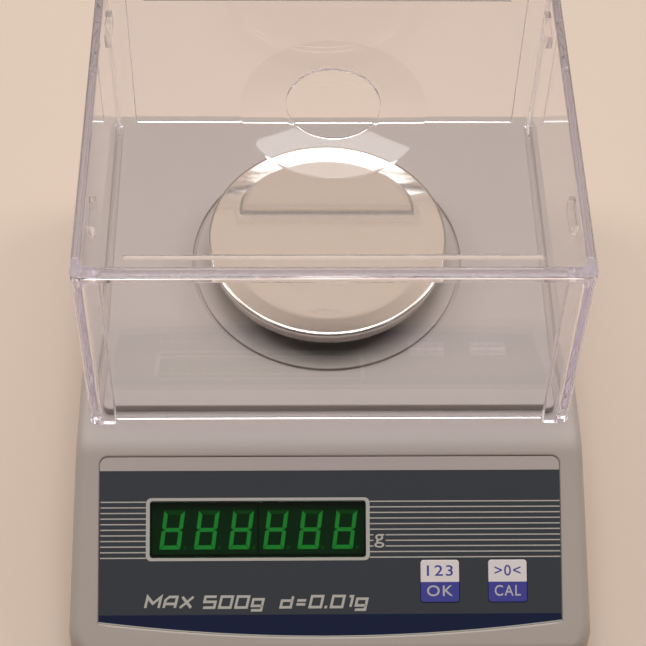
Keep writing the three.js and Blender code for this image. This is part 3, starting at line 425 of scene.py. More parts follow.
def boardMaterial(name):  # green lacquer with paler tracks
    material, tree, shader = newMaterial(name)
    tracks = tree.nodes.new("ShaderNodeTexBrick")
    tree.links.new(objectSpace(tree), tracks.inputs["Vector"])
    for socket, value in board.items():
        tracks.inputs[socket].default_value = value
    grained(tree, shader, tracks.outputs["Color"], 0.35)
    return material


finishes["board"] = boardMaterial("circuitBoard")
print("finishes made")


# Mesh tools
def newPiece(name, points, faces):
    mesh = bpy.data.meshes.new(name)
    mesh.from_pydata([Vector(p) * mm for p in points], [], faces)
    thing = bpy.data.objects.new(name, mesh)
    scene.collection.objects.link(thing)
    shape = bmesh.new()
    shape.from_mesh(mesh)
    bmesh.ops.remove_doubles(shape, verts=shape.verts, dist=1e-7)
    bmesh.ops.recalc_face_normals(shape, faces=shape.faces)
    shape.to_mesh(mesh)
    shape.free()
    return thing


def loft(name, rings):
    count = len(rings[0])
    points = [point for ring in rings for point in ring]
    faces = [tuple(reversed(range(count)))]
    for k in range(len(rings) - 1):
        for j in range(count):
            near, far = k * count + j, k * count + (j + 1) % count
            faces.append((near, far, far + count, near + count))
    last = (len(rings) - 1) * count
    faces.append(tuple(range(last, last + count)))
    return newPiece(name, points, faces)


def turned(name, profile, centre=(0, 0), steps=96):
    points = []
    for k in range(steps):
        angle = 2 * pi * k / steps
        points += [(centre[0] + r * cos(angle), centre[1] + r * sin(angle), z) for r, z in profile]
    count = len(profile)
    faces = []
    for k in range(steps):
        near, far = k * count, (k + 1) % steps * count
        for j in range(count):
            if profile[j][0] == 0 and profile[(j + 1) % count][0] == 0:
                continue
            n = (j + 1) % count
            faces.append((near + j, far + j, far + n, near + n))
    return newPiece(name, points, faces)


def arc(centre, radius, start, end, steps):
    return [
        (
            centre[0] + radius * cos(start + (end - start) * k / steps),
            centre[1] + radius * sin(start + (end - start) * k / steps),
        )
        for k in range(steps + 1)
    ]


def roundedOutline(x, y, radius, steps=8):
    quarter = pi / 2
    corners = [
        ((x[1] - radius, y[0] + radius), -quarter),
        ((x[1] - radius, y[1] - radius), 0),
        ((x[0] + radius, y[1] - radius), quarter),
        ((x[0] + radius, y[0] + radius), 2 * quarter),
    ]
    outline = []
    for centre, start in corners:
        outline += arc(centre, radius, start, start + quarter, steps)
    return outline


def around(middle, size):
    return (middle - size / 2, middle + size / 2)


def moved(thing, x, y, z):
    thing.data.transform(Matrix.Translation(Vector((x, y, z)) * mm))
    return thing


def tipped(thing, axis):  # a quarter turn about an axis
    thing.data.transform(Matrix.Rotation(pi / 2, 4, axis))
    return thing


def atHeight(outline, z):
    return [(x, y, z) for x, y in outline]


def plate(name, outline, z):
    return loft(name, [atHeight(outline, z[0]), atHeight(outline, z[1])])


def block(name, x, y, z):
    return plate(name, [(x[0], y[0]), (x[1], y[0]), (x[1], y[1]), (x[0], y[1])], z)


def rod(name, radius, z, centre=(0, 0), steps=32):
    return turned(name, [(0, z[0]), (radius, z[0]), (radius, z[1]), (0, z[1])], centre, steps)


def settled(thing):  # the mesh with its modifiers applied
    bpy.context.view_layer.update()
    ready = bpy.data.meshes.new_from_object(thing.evaluated_get(bpy.context.evaluated_depsgraph_get()))
    old = thing.data
    thing.modifiers.clear()
    thing.data = ready
    ready.name = thing.name
    bpy.data.meshes.remove(old)
    return thing


def combine(thing, operation, tools):
    for tool in tools:
        step = thing.modifiers.new("join", "BOOLEAN")
        step.operation = operation
        step.solver = "MANIFOLD"
        step.object = tool
    settled(thing)
    for tool in tools:
        bpy.data.objects.remove(tool)
    return thing


def carve(thing, *tools):
    return combine(thing, "DIFFERENCE", tools)


def weld(thing, *tools):
    return combine(thing, "UNION", tools)


def ease(thing, width, segments=2, angle=40):  # small rounding on every sharp edge
    step = thing.modifiers.new("ease", "BEVEL")
    step.width = width * mm
    step.segments = segments
    step.limit_method = "ANGLE"
    step.angle_limit = radians(angle)
    step.miter_outer = "MITER_ARC"
    return settled(thing)


def smooth(thing, angle=30):
    thing.data.shade_smooth()
    thing.data.set_sharp_from_angle(angle=radians(angle))
    step = thing.modifiers.new("even", "WEIGHTED_NORMAL")
    step.keep_sharp = True
    return settled(thing)


def dressed(thing, finish, body, slot, *nodes):
    thing.data.materials.clear()
    for material in finish if isinstance(finish, list) else [finish]:
        thing.data.materials.append(material)
    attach(thing, body)
    if nodes:
        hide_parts(*nodes)
    return thing


corners = [("front_left", -1, -1), ("front_right", 1, -1), ("back_left", -1, 1), ("back_right", 1, 1)]

# Casing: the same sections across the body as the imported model, drawn finer
casing = {
    "topWidth": 192,
    "sideDraft": radians(3),
    "cornerRadius": 9,
    "sideRadius": 5,
    "noseRadius": 5,
    "backRadius": 6,
    "bendRadius": 20,
    "panelTilt": radians(30),
    "apron": 1.3,
    "wall": 2.4,
    "steps": 12,
    "stationStep": 0.15,
    "plateauHeight": 3.5,
    "plateauSideGap": 3.5,
    "plateauFrontGap": 8.3,
    "plateauBackGap": 4,
    "plateauRadius": 3,
    "plateauEase": 0.7,
    "grooveRadius": 53.6,
    "grooveWidth": 1.2,
    "grooveDepth": 1.3,
    "grooveEase": 0.2,
    "collarWall": 1.6,
    "collarHeight": 2.5,
    "collarEase": 0.5,
    "holeRadius": 12,
    "rockerLip": 1.4,
}
housingLow, housingHigh = nodeBox("upper_housing")
trayLow, trayHigh = nodeBox("lower_housing")
postLow = nodeBox("shield_post_front_left")[0]
postHigh = nodeBox("shield_post_back_right")[1]
panLow, panHigh = nodeBox("weighing_pan")
panX, panY = (panLow.x + panHigh.x) / 2, (panLow.y + panHigh.y) / 2
bodyFront, bodyBack = housingLow.y, housingHigh.y
deckTop = postLow.z
shieldFront, shieldBack = postLow.y, postHigh.y
plateauTop = deckTop + casing["plateauHeight"]
bendY = shieldFront - casing["apron"]
bendEndY = bendY - casing["bendRadius"] * sin(casing["panelTilt"])
bendEndZ = deckTop - casing["bendRadius"] * (1 - cos(casing["panelTilt"]))
noseY = bodyFront + casing["noseRadius"]
noseRise = casing["noseRadius"] / cos(casing["panelTilt"])
noseZ = bendEndZ - (bendEndY - noseY) * tan(casing["panelTilt"]) - noseRise


def topAt(y, inset):
    tilt, nose, bend, back = (casing[key] for key in ("panelTilt", "noseRadius", "bendRadius", "backRadius"))
    if y < noseY - (nose - inset) * sin(tilt):
        return noseZ + sqrt(max((nose - inset) ** 2 - (y - noseY) ** 2, 0))
    if y < bendY - (bend - inset) * sin(tilt):
        return bendEndZ - (bendEndY - y) * tan(tilt) - inset / cos(tilt)
    if y < bendY:
        return deckTop - bend + sqrt((bend - inset) ** 2 - (bendY - y) ** 2)
    backStart = bodyBack - back
    if y < backStart:
        return deckTop - inset
    return deckTop - back + sqrt(max((back - inset) ** 2 - (y - backStart) ** 2, 0))


def stations(inset):
    front, back, steps = bodyFront + inset, bodyBack - inset, casing["steps"]
    places = [bendY]
    for k in range(1, steps + 1):
        turn = 1 - cos(k / steps * pi / 2)
        places.append(front + (casing["cornerRadius"] - inset) * turn)
        places.append(back - (casing["cornerRadius"] - inset) * turn)
        places.append(back - (casing["backRadius"] - inset) * turn)
        places.append(bendY - (casing["bendRadius"] - inset) * sin(casing["panelTilt"]) * k / steps)
        noseTurn = 1 - cos(k / steps * (pi / 2 - casing["panelTilt"]))
        places.append(front + (casing["noseRadius"] - inset) * noseTurn)
    kept = [front]
    for y in sorted(places):
        if y - kept[-1] > casing["stationStep"] and back - y > casing["stationStep"]:
            kept.append(y)
    return kept + [back]


def halfWidthAt(z):
    return casing["topWidth"] / 2 + (deckTop - z) * tan(casing["sideDraft"])


def casingSection(y, inset, bottom):
    top = topAt(y, inset)
    radius = casing["cornerRadius"] - inset
    reach = min(y - bodyFront - inset, bodyBack - inset - y, radius)
    narrow = inset + radius - sqrt(max(radius**2 - (radius - reach) ** 2, 0))
    side = min(casing["sideRadius"] - inset, (top - bottom) / 2)
    edge = halfWidthAt(top - side) - narrow - side
    half = [(halfWidthAt(bottom) - narrow, bottom)]
    half += arc((edge, top - side), side, 0, pi / 2, casing["steps"])
    return [(x, y, z) for x, z in half] + [(-x, y, z) for x, z in reversed(half)]


def casingBody(name, inset, bottom):
    return loft(name, [casingSection(y, inset, bottom) for y in stations(inset)])


# Sloping panel: its own frame, x across, y up the slope from the label's top edge, z outwards
panel = {
    "labelWidth": 173.6,
    "labelSide": 61.5,
    "labelMiddle": 67,
    "labelRadius": 3,
    "labelThickness": 0.5,
    "labelSink": 0.3,
    "lip": 0.75,
    "lipShare": 0.35,
    "lipTop": 0.02,
    "window": (81, 21),
    "windowCentre": (-27.25, -27.05),
    "windowRadius": 1,
    "windowThickness": 1.5,
    "key": (14.6, 15.8),
    "keyRadius": 1.2,
    "keyThickness": 1.4,
    "keyX": (41.1, 66.6),
    "keyY": -46.7,
    "seat": 0.3,
    "run": 0.4,
    "glue": 0.15,
}
labelHigh = nodeBox("front_label")[1]
sink = panel["labelSink"]
tilt = casing["panelTilt"]
labelUnder = -sink - panel["labelThickness"]
panelOrigin = Vector((0, labelHigh.y + labelUnder * sin(tilt), labelHigh.z + sink * cos(tilt)))
panelFrame = Matrix.Translation(panelOrigin * mm) @ Matrix.Rotation(tilt, 4, "X")
pocketFloor = labelUnder - panel["seat"]


def footSweep(half):  # radius of the label's curved foot
    sag = panel["labelMiddle"] - panel["labelSide"]
    return (half**2 + sag**2) / (2 * sag)


def labelOutline(grow, drop=0, steps=10):
    half = panel["labelWidth"] / 2 + grow
    radius = panel["labelRadius"] + grow
    sweep = footSweep(half)
    angle = asin(half / sweep)
    middle = (0, sweep - panel["labelMiddle"] - grow - drop)
    bottom = arc(middle, sweep, -pi / 2 - angle, -pi / 2 + angle, 4 * steps)
    right = arc((half - radius, grow - radius), radius, 0, pi / 2, steps)
    left = arc((radius - half, grow - radius), radius, pi / 2, pi, steps)
    return bottom + right + left


def windowOutline(grow):
    (width, height), (x, y) = panel["window"], panel["windowCentre"]
    radius = panel["windowRadius"] + max(grow, 0)
    return roundedOutline(around(x, width + 2 * grow), around(y, height + 2 * grow), radius)


def keyOutline(x, grow):
    width, height = panel["key"]
    spanX, spanY = around(x, width + 2 * grow), around(panel["keyY"], height + 2 * grow)
    return roundedOutline(spanX, spanY, panel["keyRadius"] + grow)


inlet = {
    "collarRadius": 4.2,
    "collarRoot": 2,
    "collarEase": 0.35,
    "boreRadius": 3.1,
    "boreDepth": 9.5,
    "mouth": (0.4, 0.6, 0.1),
    "pinRadius": 1.05,
    "pinRoot": 1,
    "ease": 0.4,
}


def makeHousing():
    seam = housingLow.z
    shell = casingBody("housing", 0, seam)
    carve(shell, casingBody("hollow", casing["wall"], seam - cut))
    half = (postHigh.x - postLow.x) / 2 - casing["plateauSideGap"]
    spanY = (shieldFront + casing["plateauFrontGap"], shieldBack - casing["plateauBackGap"])
    soft, radius, root = casing["plateauEase"], casing["plateauRadius"], deckTop - casing["wall"] / 2
    rings = [atHeight(roundedOutline((-half, half), spanY, radius), root)]
    for x, z in arc((-soft, plateauTop - soft), soft, 0, pi / 2, 5):
        inner = (spanY[0] - x, spanY[1] + x)
        rings.append(atHeight(roundedOutline((-half - x, half + x), inner, radius + x), z))
    plateau = loft("plateau", rings)
    collarTop = plateauTop + casing["collarHeight"]
    outside, soft = casing["holeRadius"] + casing["collarWall"], casing["collarEase"]
    crest = arc((outside - soft, collarTop - soft), soft, 0, pi / 2, 4)
    collar = turned("collar", [(0, root), (outside, root), *crest, (0, collarTop)], (0, panY))
    weld(shell, plateau, collar)
    wide, soft, mid = casing["grooveWidth"] / 2, casing["grooveEase"], casing["grooveRadius"]
    lip = wide + 1.5 * soft
    half = [(wide, -casing["grooveDepth"]), (wide, -soft), (lip, soft / 2), (lip, cut)]
    section = [(mid + x, plateauTop + z) for x, z in half]
    section += [(mid - x, plateauTop + z) for x, z in reversed(half)]
    groove = turned("groove", section, (0, panY), 180)
    hole = rod("hole", casing["holeRadius"], (deckTop - 2 * cut, collarTop + cut), (0, panY), 64)
    lip, seat, slope = panel["lip"], panel["seat"], panel["lipShare"]
    levels = ((0, pocketFloor), (0, -sink), (lip * slope, -sink * slope), (lip, panel["lipTop"]), (lip, cut))
    pocket = loft("pocket", [atHeight(labelOutline(seat + grow), z) for grow, z in levels])
    through = (pocketFloor - casing["wall"] - cut, cut)
    window = plate("windowHole", windowOutline(seat), through)
    keys = [plate("keyHole", keyOutline(x, panel["run"]), through) for x in panel["keyX"]]
    for thing in (pocket, window, *keys):
        thing.data.transform(panelFrame)
    low, high = nodeBox("rocker_frame")
    inset = casing["rockerLip"] - seat
    rear = (bodyBack - casing["wall"] - cut, bodyBack + cut)
    rockerHole = block("rockerHole", (low.x + inset, high.x - inset), rear, (low.z + inset, high.z - inset))
    low, high = nodeBox("power_inlet")
    inletHole = tipped(rod("inletHole", inlet["collarRadius"] + seat, (-rear[1], -rear[0]), steps=48), "X")
    moved(inletHole, (low.x + high.x) / 2, 0, (low.z + high.z) / 2)
    carve(shell, groove, hole, pocket, window, *keys, rockerHole, inletHole)
    smooth(shell, 35)
    dressed(shell, finishes["casing"], "base", "casing_plastic", "upper_housing")


makeHousing()
print("housing made")

# Lower tray: rounded bottom edge, foot and screw bosses
tray = {
    "edge": 2,
    "floor": 2.2,
    "cornerRadius": 9,
    "seam": 0.3,
    "bossRadius": 6.5,
    "bossHeight": 8,
    "stemHole": 3.2,
    "screwHole": 1.8,
    "screwSleeve": 4,
    "screwSink": 3.1,
    "sinkDepth": 2,
}


def trayRing(grow, z):
    half, radius = halfWidthAt(z) + grow, tray["cornerRadius"] + grow
    spanY = (bodyFront - grow, bodyBack + grow)
    return atHeight(roundedOutline((-half, half), spanY, radius, casing["steps"]), z)


def middleOf(name):
    low, high = nodeBox(name)
    return ((low.x + high.x) / 2, (low.y + high.y) / 2)


def makeTray():
    bottom, top, edge = trayLow.z, trayHigh.z, tray["edge"]
    floorTop = bottom + tray["floor"]
    rim = arc((-edge, bottom + edge), edge, -pi / 2, 0, 6)
    rings = [trayRing(grow, z) for grow, z in rim]
    seam = housingLow.z - tray["seam"]
    body = loft("tray", [*rings, trayRing(0, seam)])
    wall = casing["wall"]
    carve(body, loft("trayHollow", [trayRing(-wall, floorTop), trayRing(-wall, top + cut)]))
    feet = [middleOf("levelling_foot_" + corner) for corner, _, _ in corners]
    screws = [middleOf("casing_screw_" + corner) for corner, _, _ in corners]
    bossZ = (bottom + tray["floor"] / 2, floorTop + tray["bossHeight"])
    weld(body, *[rod("boss", tray["bossRadius"], bossZ, at) for at in feet])
    weld(body, *[rod("sleeve", tray["screwSleeve"], (bossZ[0], seam), at) for at in screws])
    through, sinkZ = (bottom - cut, top + 2 * cut), (bottom - cut, bottom + tray["sinkDepth"])
    holes = [("stemHole", through, feet), ("screwHole", through, screws), ("screwSink", sinkZ, screws)]
    carve(body, *[rod(name, tray[name], z, at) for name, z, places in holes for at in places])
    smooth(body, 35)
    dressed(body, finishes["tray"], "base", "tray_plastic", "lower_housing")


makeTray()
print("tray made")

# Printed membrane on the sloping panel, with a painted highlight along its foot
label = {
    "slate": colour(61, 64, 69),
    "navy": colour(18, 28, 60),
    "pale": colour(192, 179, 172),
    "silver": colour(192, 187, 178),
    "paleDepth": 5.1,
    "navyStart": 58.8,
    "stripeStart": 16.8,
    "stripePitch": 2.09,
    "stripeWidth": 0.44,
    "stripeCount": 11,
    "leftBlock": (-86.4, -69.3),
    "rightBlock": (14.8, 86.7),
    "frame": (84.1, 23.5),
    "frameRadius": 2.0,
    # width of the painted highlight along the foot
    "paintedFootHighlight": 0.3,
    "footGrow": 0.22,
    "edge": 0.08,
    "past": 100,
    "roughness": 0.34,
    "drift": 0.05,
    "grain": 3500,
    "grainDepth": 0.12,
    "unitX": (16.2, 20.8),
    "unitY": (-35.4, -27.9),
}


def makeMaskGroup():  # 1 inside a rounded rectangle, 0 outside
    inputs = [("Vector", "NodeSocketVector", None)]
    for word in ("Centre X", "Centre Y", "Width", "Height", "Radius"):
        inputs.append((word, "NodeSocketFloat", 0))
    group, given, made = newGroup("printedPatch", inputs, [("Mask", "NodeSocketFloat")])
    at = axes(group, given.outputs["Vector"])
    reach = []
    for axis, middle, size in ((0, "Centre X", "Width"), (1, "Centre Y", "Height")):
        off = math(group, "ABSOLUTE", math(group, "SUBTRACT", at[axis], given.outputs[middle]))
        half = math(group, "MULTIPLY", given.outputs[size], 0.5)
        half = math(group, "SUBTRACT", half, given.outputs["Radius"])
        beyond = math(group, "MAXIMUM", math(group, "SUBTRACT", off, half), 0.0)
        reach.append(math(group, "MULTIPLY", beyond, beyond))
    distance = math(group, "SQRT", math(group, "ADD", *reach))
    inside = math(group, "LESS_THAN", distance, math(group, "ADD", given.outputs["Radius"], 1e-4))
    group.links.new(inside, made.inputs["Mask"])
    return group


maskGroup = makeMaskGroup()


def panelMillimetres(tree):  # object space of a piece on the panel, in mm
    return vectorMath(tree, "MULTIPLY", objectSpace(tree), [1 / mm] * 3)


def patch(tree, vector, x, y, radius=0.0):
    values = {"Centre X": sum(x) / 2, "Centre Y": sum(y) / 2}
    values |= {"Width": abs(x[1] - x[0]), "Height": abs(y[1] - y[0])}
    return place(tree, maskGroup, Vector=vector, Radius=radius, **values).outputs["Mask"]


def strip(tree, vector, top, bottom):  # from side to side between two depths down the slope
    return patch(tree, vector, (-label["past"], label["past"]), (-top, -bottom))


def paintedFootHighlight(tree, vector):  # painted highlight: a thin silver line along the foot, standing for light on the pocket's lip
    radius = footSweep(panel["labelWidth"] / 2)
    offset = vectorMath(tree, "SUBTRACT", vector, (0, radius - panel["labelMiddle"], 0))
    away = vectorMath(tree, "LENGTH", vectorMath(tree, "MULTIPLY", offset, (1, 1, 0)))
    edge = math(tree, "GREATER_THAN", away, radius - label["paintedFootHighlight"])
    return math(tree, "MULTIPLY", edge, strip(tree, vector, label["navyStart"], label["past"]))


def labelMaterial():
    material, tree, shader = newMaterial("printedLabel")
    vector = panelMillimetres(tree)
    down = math(tree, "MULTIPLY", axes(tree, vector)["Y"], -1.0)
    pale = strip(tree, vector, -label["past"], label["paleDepth"])
    navy = strip(tree, vector, label["navyStart"], label["past"])
    shade = mixColour(tree, pale, label["slate"], label["pale"])
    shade = mixColour(tree, navy, shade, label["navy"])
    first = label["stripeStart"] - label["stripeWidth"] / 2
    turn = math(tree, "MODULO", math(tree, "SUBTRACT", down, first), label["stripePitch"])
    line = math(tree, "LESS_THAN", turn, label["stripeWidth"])
    last = first + (label["stripeCount"] - 1) * label["stripePitch"] + label["stripeWidth"]
    left, right = (patch(tree, vector, label[side], (-first, -last)) for side in ("leftBlock", "rightBlock"))
    blocks = math(tree, "MAXIMUM", left, right)
    (width, height), (x, y) = label["frame"], panel["windowCentre"]
    border = patch(tree, vector, around(x, width), around(y, height), label["frameRadius"])
    silver = math(tree, "MAXIMUM", math(tree, "MULTIPLY", line, blocks), border)
    clear = math(tree, "SUBTRACT", 1.0, patch(tree, vector, label["unitX"], label["unitY"]))
    silver = math(tree, "MULTIPLY", silver, clear)
    # the painted foot highlight joins the silver print
    silver = math(tree, "MAXIMUM", silver, paintedFootHighlight(tree, vector))
    shade = mixColour(tree, silver, shade, label["silver"])
    grained(tree, shader, shade, *(label[key] for key in ("roughness", "drift", "grain", "grainDepth")))
    return material


def setOnPanel(thing):  # a piece that keeps the panel's frame as its own
    thing.matrix_world = panelFrame
    return thing


def makeLabel():
    soft, drop = label["edge"], label["footGrow"]
    levels = ((0, labelUnder), (0, -sink - soft), (-soft, -sink))
    sheet = loft("label", [atHeight(labelOutline(grow, drop), z) for grow, z in levels])
    through = (labelUnder - cut, cut)
    tools = [plate("labelWindow", windowOutline(panel["glue"]), through)]
    tools += [plate("labelKey", keyOutline(x, panel["glue"]), through) for x in panel["keyX"]]
    carve(sheet, *tools)
    smooth(sheet, 40)
    dressed(setOnPanel(sheet), labelMaterial(), "base", "label_film", "front_label")


makeLabel()

# Window, digit modules and their segments
digits = {
    "pitch": 13.02,
    "perModule": 3,
    "rise": -0.25,
    "height": 14.6,
    "width": 7.85,
    "slant": radians(7.4),
    "bar": 1.5,
    "barGap": 0.13,
    "pointPlace": (5.6, -6.7),
    "pointSize": 1.25,
    "shift": 0.18,
    "overhang": 2.2,
    "ease": 0.25,
    "cornerRadius": 0.4,
    "proud": 0.12,
    "root": 0.05,
    "face": colour(84, 100, 94),
    "lit": (colour(92, 215, 108), colour(122, 240, 138)),
    "faint": (colour(58, 140, 76), colour(70, 156, 88)),
    "litGlow": 0.36,
    "faintGlow": 0.1,
}
window = {
    "tint": (0.15, 0.37, 0.22, 1),
    "shadow": (0.25, 0.6, 0.36, 1),
    "bend": 1.49,
    "roughness": (0.0, 0.04),
    "hazeScale": 80,
    "ease": 0.2,
}


def segmentMaterial(state):
    material, tree, shader = newMaterial(state + "Segment")
    cloud = noise(tree, objectSpace(tree), 260, 2)
    shade = mixColour(tree, cloud, *digits[state])
    tree.links.new(shade, shader.inputs["Base Color"])
    tree.links.new(shade, shader.inputs["Emission Color"])
    shader.inputs["Emission Strength"].default_value = digits[state + "Glow"]
    shader.inputs["Roughness"].default_value = 0.4
    return material


def segmentOutlines():  # seven mitred bars and the point, upright and centred on the digit
    x, y, thick, gap = digits["width"] / 2, digits["height"] / 2, digits["bar"], digits["barGap"]
    top = [(gap - x, y), (x - gap, y), (x - thick - gap, y - thick), (thick + gap - x, y - thick)]
    side = [(x, y - gap), (x, thick / 2), (x - thick / 2, gap)]
    side += [(x - thick, thick / 2), (x - thick, y - thick - gap)]
    end = x - thick / 2 - gap
    middle = [(-end, 0), (thick / 2 - end, -thick / 2), (end - thick / 2, -thick / 2)]
    middle += [(end, 0), (end - thick / 2, thick / 2), (thick / 2 - end, thick / 2)]
    outlines = [top, middle, [(a, -b) for a, b in top]]
    outlines += [[(i * a, j * b) for a, b in side] for i in (-1, 1) for j in (-1, 1)]
    size = digits["pointSize"]
    placeX, placeY = digits["pointPlace"]
    return outlines + [roundedOutline(around(placeX, size), around(placeY, size), size / 2 - sliver, 4)]


def makeModules():
    lit, faint = segmentMaterial("lit"), segmentMaterial("faint")
    potting = mouldedPlastic("digitFace", digits["face"], 0.45, 2500, 0.2)
    middle = panel["windowCentre"][0] + digits["shift"]
    for turn, side in enumerate(("left", "right")):
        node = "digit_module_" + side
        corner = [panelFrame.inverted() @ v.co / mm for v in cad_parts[node].data.vertices]
        x, y, z = ((min(c[k] for c in corner), max(c[k] for c in corner)) for k in range(3))
        wide = (x[0] - digits["overhang"] * (1 - turn), x[1] + digits["overhang"] * turn)
        face = z[1] - digits["proud"]
        body = plate("digitModule_" + side, roundedOutline(wide, y, digits["cornerRadius"], 3), (z[0], face))
        ease(body, digits["ease"])
        smooth(body)
        dressed(setOnPanel(body), potting, "base", "digit_blocks", node)
        level, lean = sum(y) / 2 + digits["rise"], tan(digits["slant"])
        for k in range(digits["perModule"]):
            at = middle + (k + (turn - 1) * digits["perModule"] + 0.5) * digits["pitch"]
            for number, outline in enumerate(segmentOutlines()):
                leaned = [(at + a + b * lean, level + b) for a, b in outline]
                bar = plate(f"segment_{side}_{k}_{number}", leaned, (face - digits["root"], z[1]))
                smooth(bar)
                dressed(setOnPanel(bar), faint if number in (0, 7) else lit, "base", "digit_blocks")


def makeWindow():
    depth = (-sink - panel["windowThickness"], -sink - panel["glue"])
    lens = plate("displayWindow", windowOutline(-panel["glue"]), depth)
    ease(lens, window["ease"])
    smooth(lens)
    finish = clearPlastic("windowFilter", window)
    dressed(setOnPanel(lens), finish, "base", "window_filter", "display_window")


makeModules()
makeWindow()
print("label, window and digits made")


# Keys: pinkish white above, indigo below, with plain marks
keys = {
    "white": colour(236, 226, 222),
    "indigo": colour(70, 70, 154),
    "markWhite": colour(196, 192, 190),
    "splitShare": 0.52,
    "roughness": 0.4,
    "grainDepth": 0.15,
    "ease": 0.3,
    "stemRadius": 2.6,
    "stemRoot": 0.5,
    "reach": 40,
    "marks": (("123", "OK"), (">0<", "CAL")),
    "markRise": (3.9, -3.6),
    "markSize": 5.6,
    "markWidth": 9.8,
    "markBold": 0.04,
    "markSpacing": 1.15,
}


def keyMaterial(x):
    material, tree, shader = newMaterial("keyFilm")
    vector = panelMillimetres(tree)
    low, high = around(panel["keyY"], panel["key"][1])
    split = high - (high - low) * keys["splitShare"]
    lower = patch(tree, vector, around(x, keys["reach"]), (split, split - keys["reach"]))
    shade = mixColour(tree, lower, keys["white"], keys["indigo"])
    grained(tree, shader, shade, keys["roughness"], depth=keys["grainDepth"])
    return material


def ink(name, tint):
    material, tree, shader = newMaterial(name)
    grained(tree, shader, tint, keys["roughness"], 0.06)
    return material


inks = {
    "silver": ink("silverInk", label["silver"]),
    "indigo": ink("indigoInk", keys["indigo"]),
    "white": ink("whiteInk", keys["markWhite"]),
}
film = 0.02  # thickness of printed ink


def inscribe(name, words, size, width, at, bold, material, body, slot, spacing=1.0):
    text = bpy.data.curves.new(name, "FONT")
    text.body = words
    text.size = size * mm
    text.offset = bold * mm
    text.space_character = spacing
    text.extrude = film * mm / 2
    text.align_x, text.align_y = "CENTER", "CENTER"
    draft = bpy.data.objects.new(name + "_draft", text)
    scene.collection.objects.link(draft)
    bpy.context.view_layer.update()
    mesh = bpy.data.meshes.new_from_object(draft.evaluated_get(bpy.context.evaluated_depsgraph_get()))
    bpy.data.objects.remove(draft)
    spanX = [v.co.x for v in mesh.vertices]
    spanY = [v.co.y for v in mesh.vertices]
    middle = Vector(((min(spanX) + max(spanX)) / 2, (min(spanY) + max(spanY)) / 2, 0))
    stretch = width * mm / (max(spanX) - min(spanX))
    mesh.transform(Matrix.Diagonal((stretch, 1, 1, 1)) @ Matrix.Translation(-middle))
    mesh.transform(Matrix.Translation(Vector((at[0], at[1], film / 2 - sink)) * mm))
    mark = bpy.data.objects.new(name, mesh)
    scene.collection.objects.link(mark)
    return dressed(setOnPanel(mark), material, body, slot)


def makeKeys():
    under = -sink - panel["keyThickness"]
    for k, side in enumerate(("left", "right")):
        x = panel["keyX"][k]
        node = "key_" + side
        depth = min((panelFrame.inverted() @ v.co / mm).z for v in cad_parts[node].data.vertices)
        cap = plate("keyCap_" + side, keyOutline(x, 0), (under, -sink))
        ease(cap, keys["ease"], 3)
        weld(cap, rod("stem", keys["stemRadius"], (depth, under + keys["stemRoot"]), (x, panel["keyY"])))
        smooth(cap, 40)
        body = side + "_key"
        dressed(setOnPanel(cap), keyMaterial(x), body, "key_film", node)
        for part, (line, tint) in enumerate((("upper", "indigo"), ("lower", "white"))):
            at = (x, panel["keyY"] + keys["markRise"][part])
            inscribe(
                f"mark_{side}_{line}", keys["marks"][k][part], keys["markSize"], keys["markWidth"], at,
                keys["markBold"], inks[tint], body, "key_film", keys["markSpacing"],
            )


makeKeys()

# Capacity row in square stroked letters: paths over a unit cell, and the width of each
letters = {
    "M": (1.2, [[(0, 0), (0, 1), (0.5, 0.4), (1, 1), (1, 0)]]),
    "A": (1, [[(0, 0), (0, 0.7), (0.3, 1), (1, 1), (1, 0)], [(0, 0.36), (1, 0.36)]]),
    "X": (1, [[(0, 0), (1, 1)], [(0, 1), (1, 0)]]),
    "5": (1, [[(1, 1), (0, 1), (0, 0.53), (1, 0.53), (1, 0), (0, 0)]]),
    "0": (1, [[(0.5, 0), (0, 0), (0, 1), (0.5, 1)], [(0.5, 1), (1, 1), (1, 0), (0.5, 0)]]),
    "1": (0.3, [[(0, 0.98), (1, 0.98), (1, 0)]]),
    "g": (0.9, [[(1, 0.14), (0, 0.14), (0, 0.74), (1, 0.74), (1, -0.26), (0, -0.26)]]),
    "d": (0.9, [[(1, 1), (1, 0), (0, 0), (0, 0.6), (1, 0.6)]]),
    "=": (0.8, [[(0, 0.62), (1, 0.62)], [(0, 0.26), (1, 0.26)]]),
    ".": (0.01, [[(0, -0.12), (0, 0.12)]]),
}
capacityRow = {
    "text": "MAX 500g  d=0.01g",
    "middle": (-27.7, -54.1),
    "width": 83.4,
    "height": 5.0,
    "stroke": 0.95,
    "gap": 0.95,
    "space": 2.6,
    "slant": 0.24,
}


def strokeOutline(points, width):  # a path widened to both sides, square at its ends, mitred between
    near, far = [], []
    for k, point in enumerate(points):
        steps = [(points[j + 1] - points[j]).normalized() for j in (k - 1, k) if 0 <= j < len(points) - 1]
        sides = [Vector((-step.y, step.x)) for step in steps]
        out = sum(sides, Vector((0, 0))) / (1 + (sides[0].dot(sides[1]) if len(sides) > 1 else 0))
        near.append(point + out * width / 2)
        far.append(point - out * width / 2)
    return near + list(reversed(far))


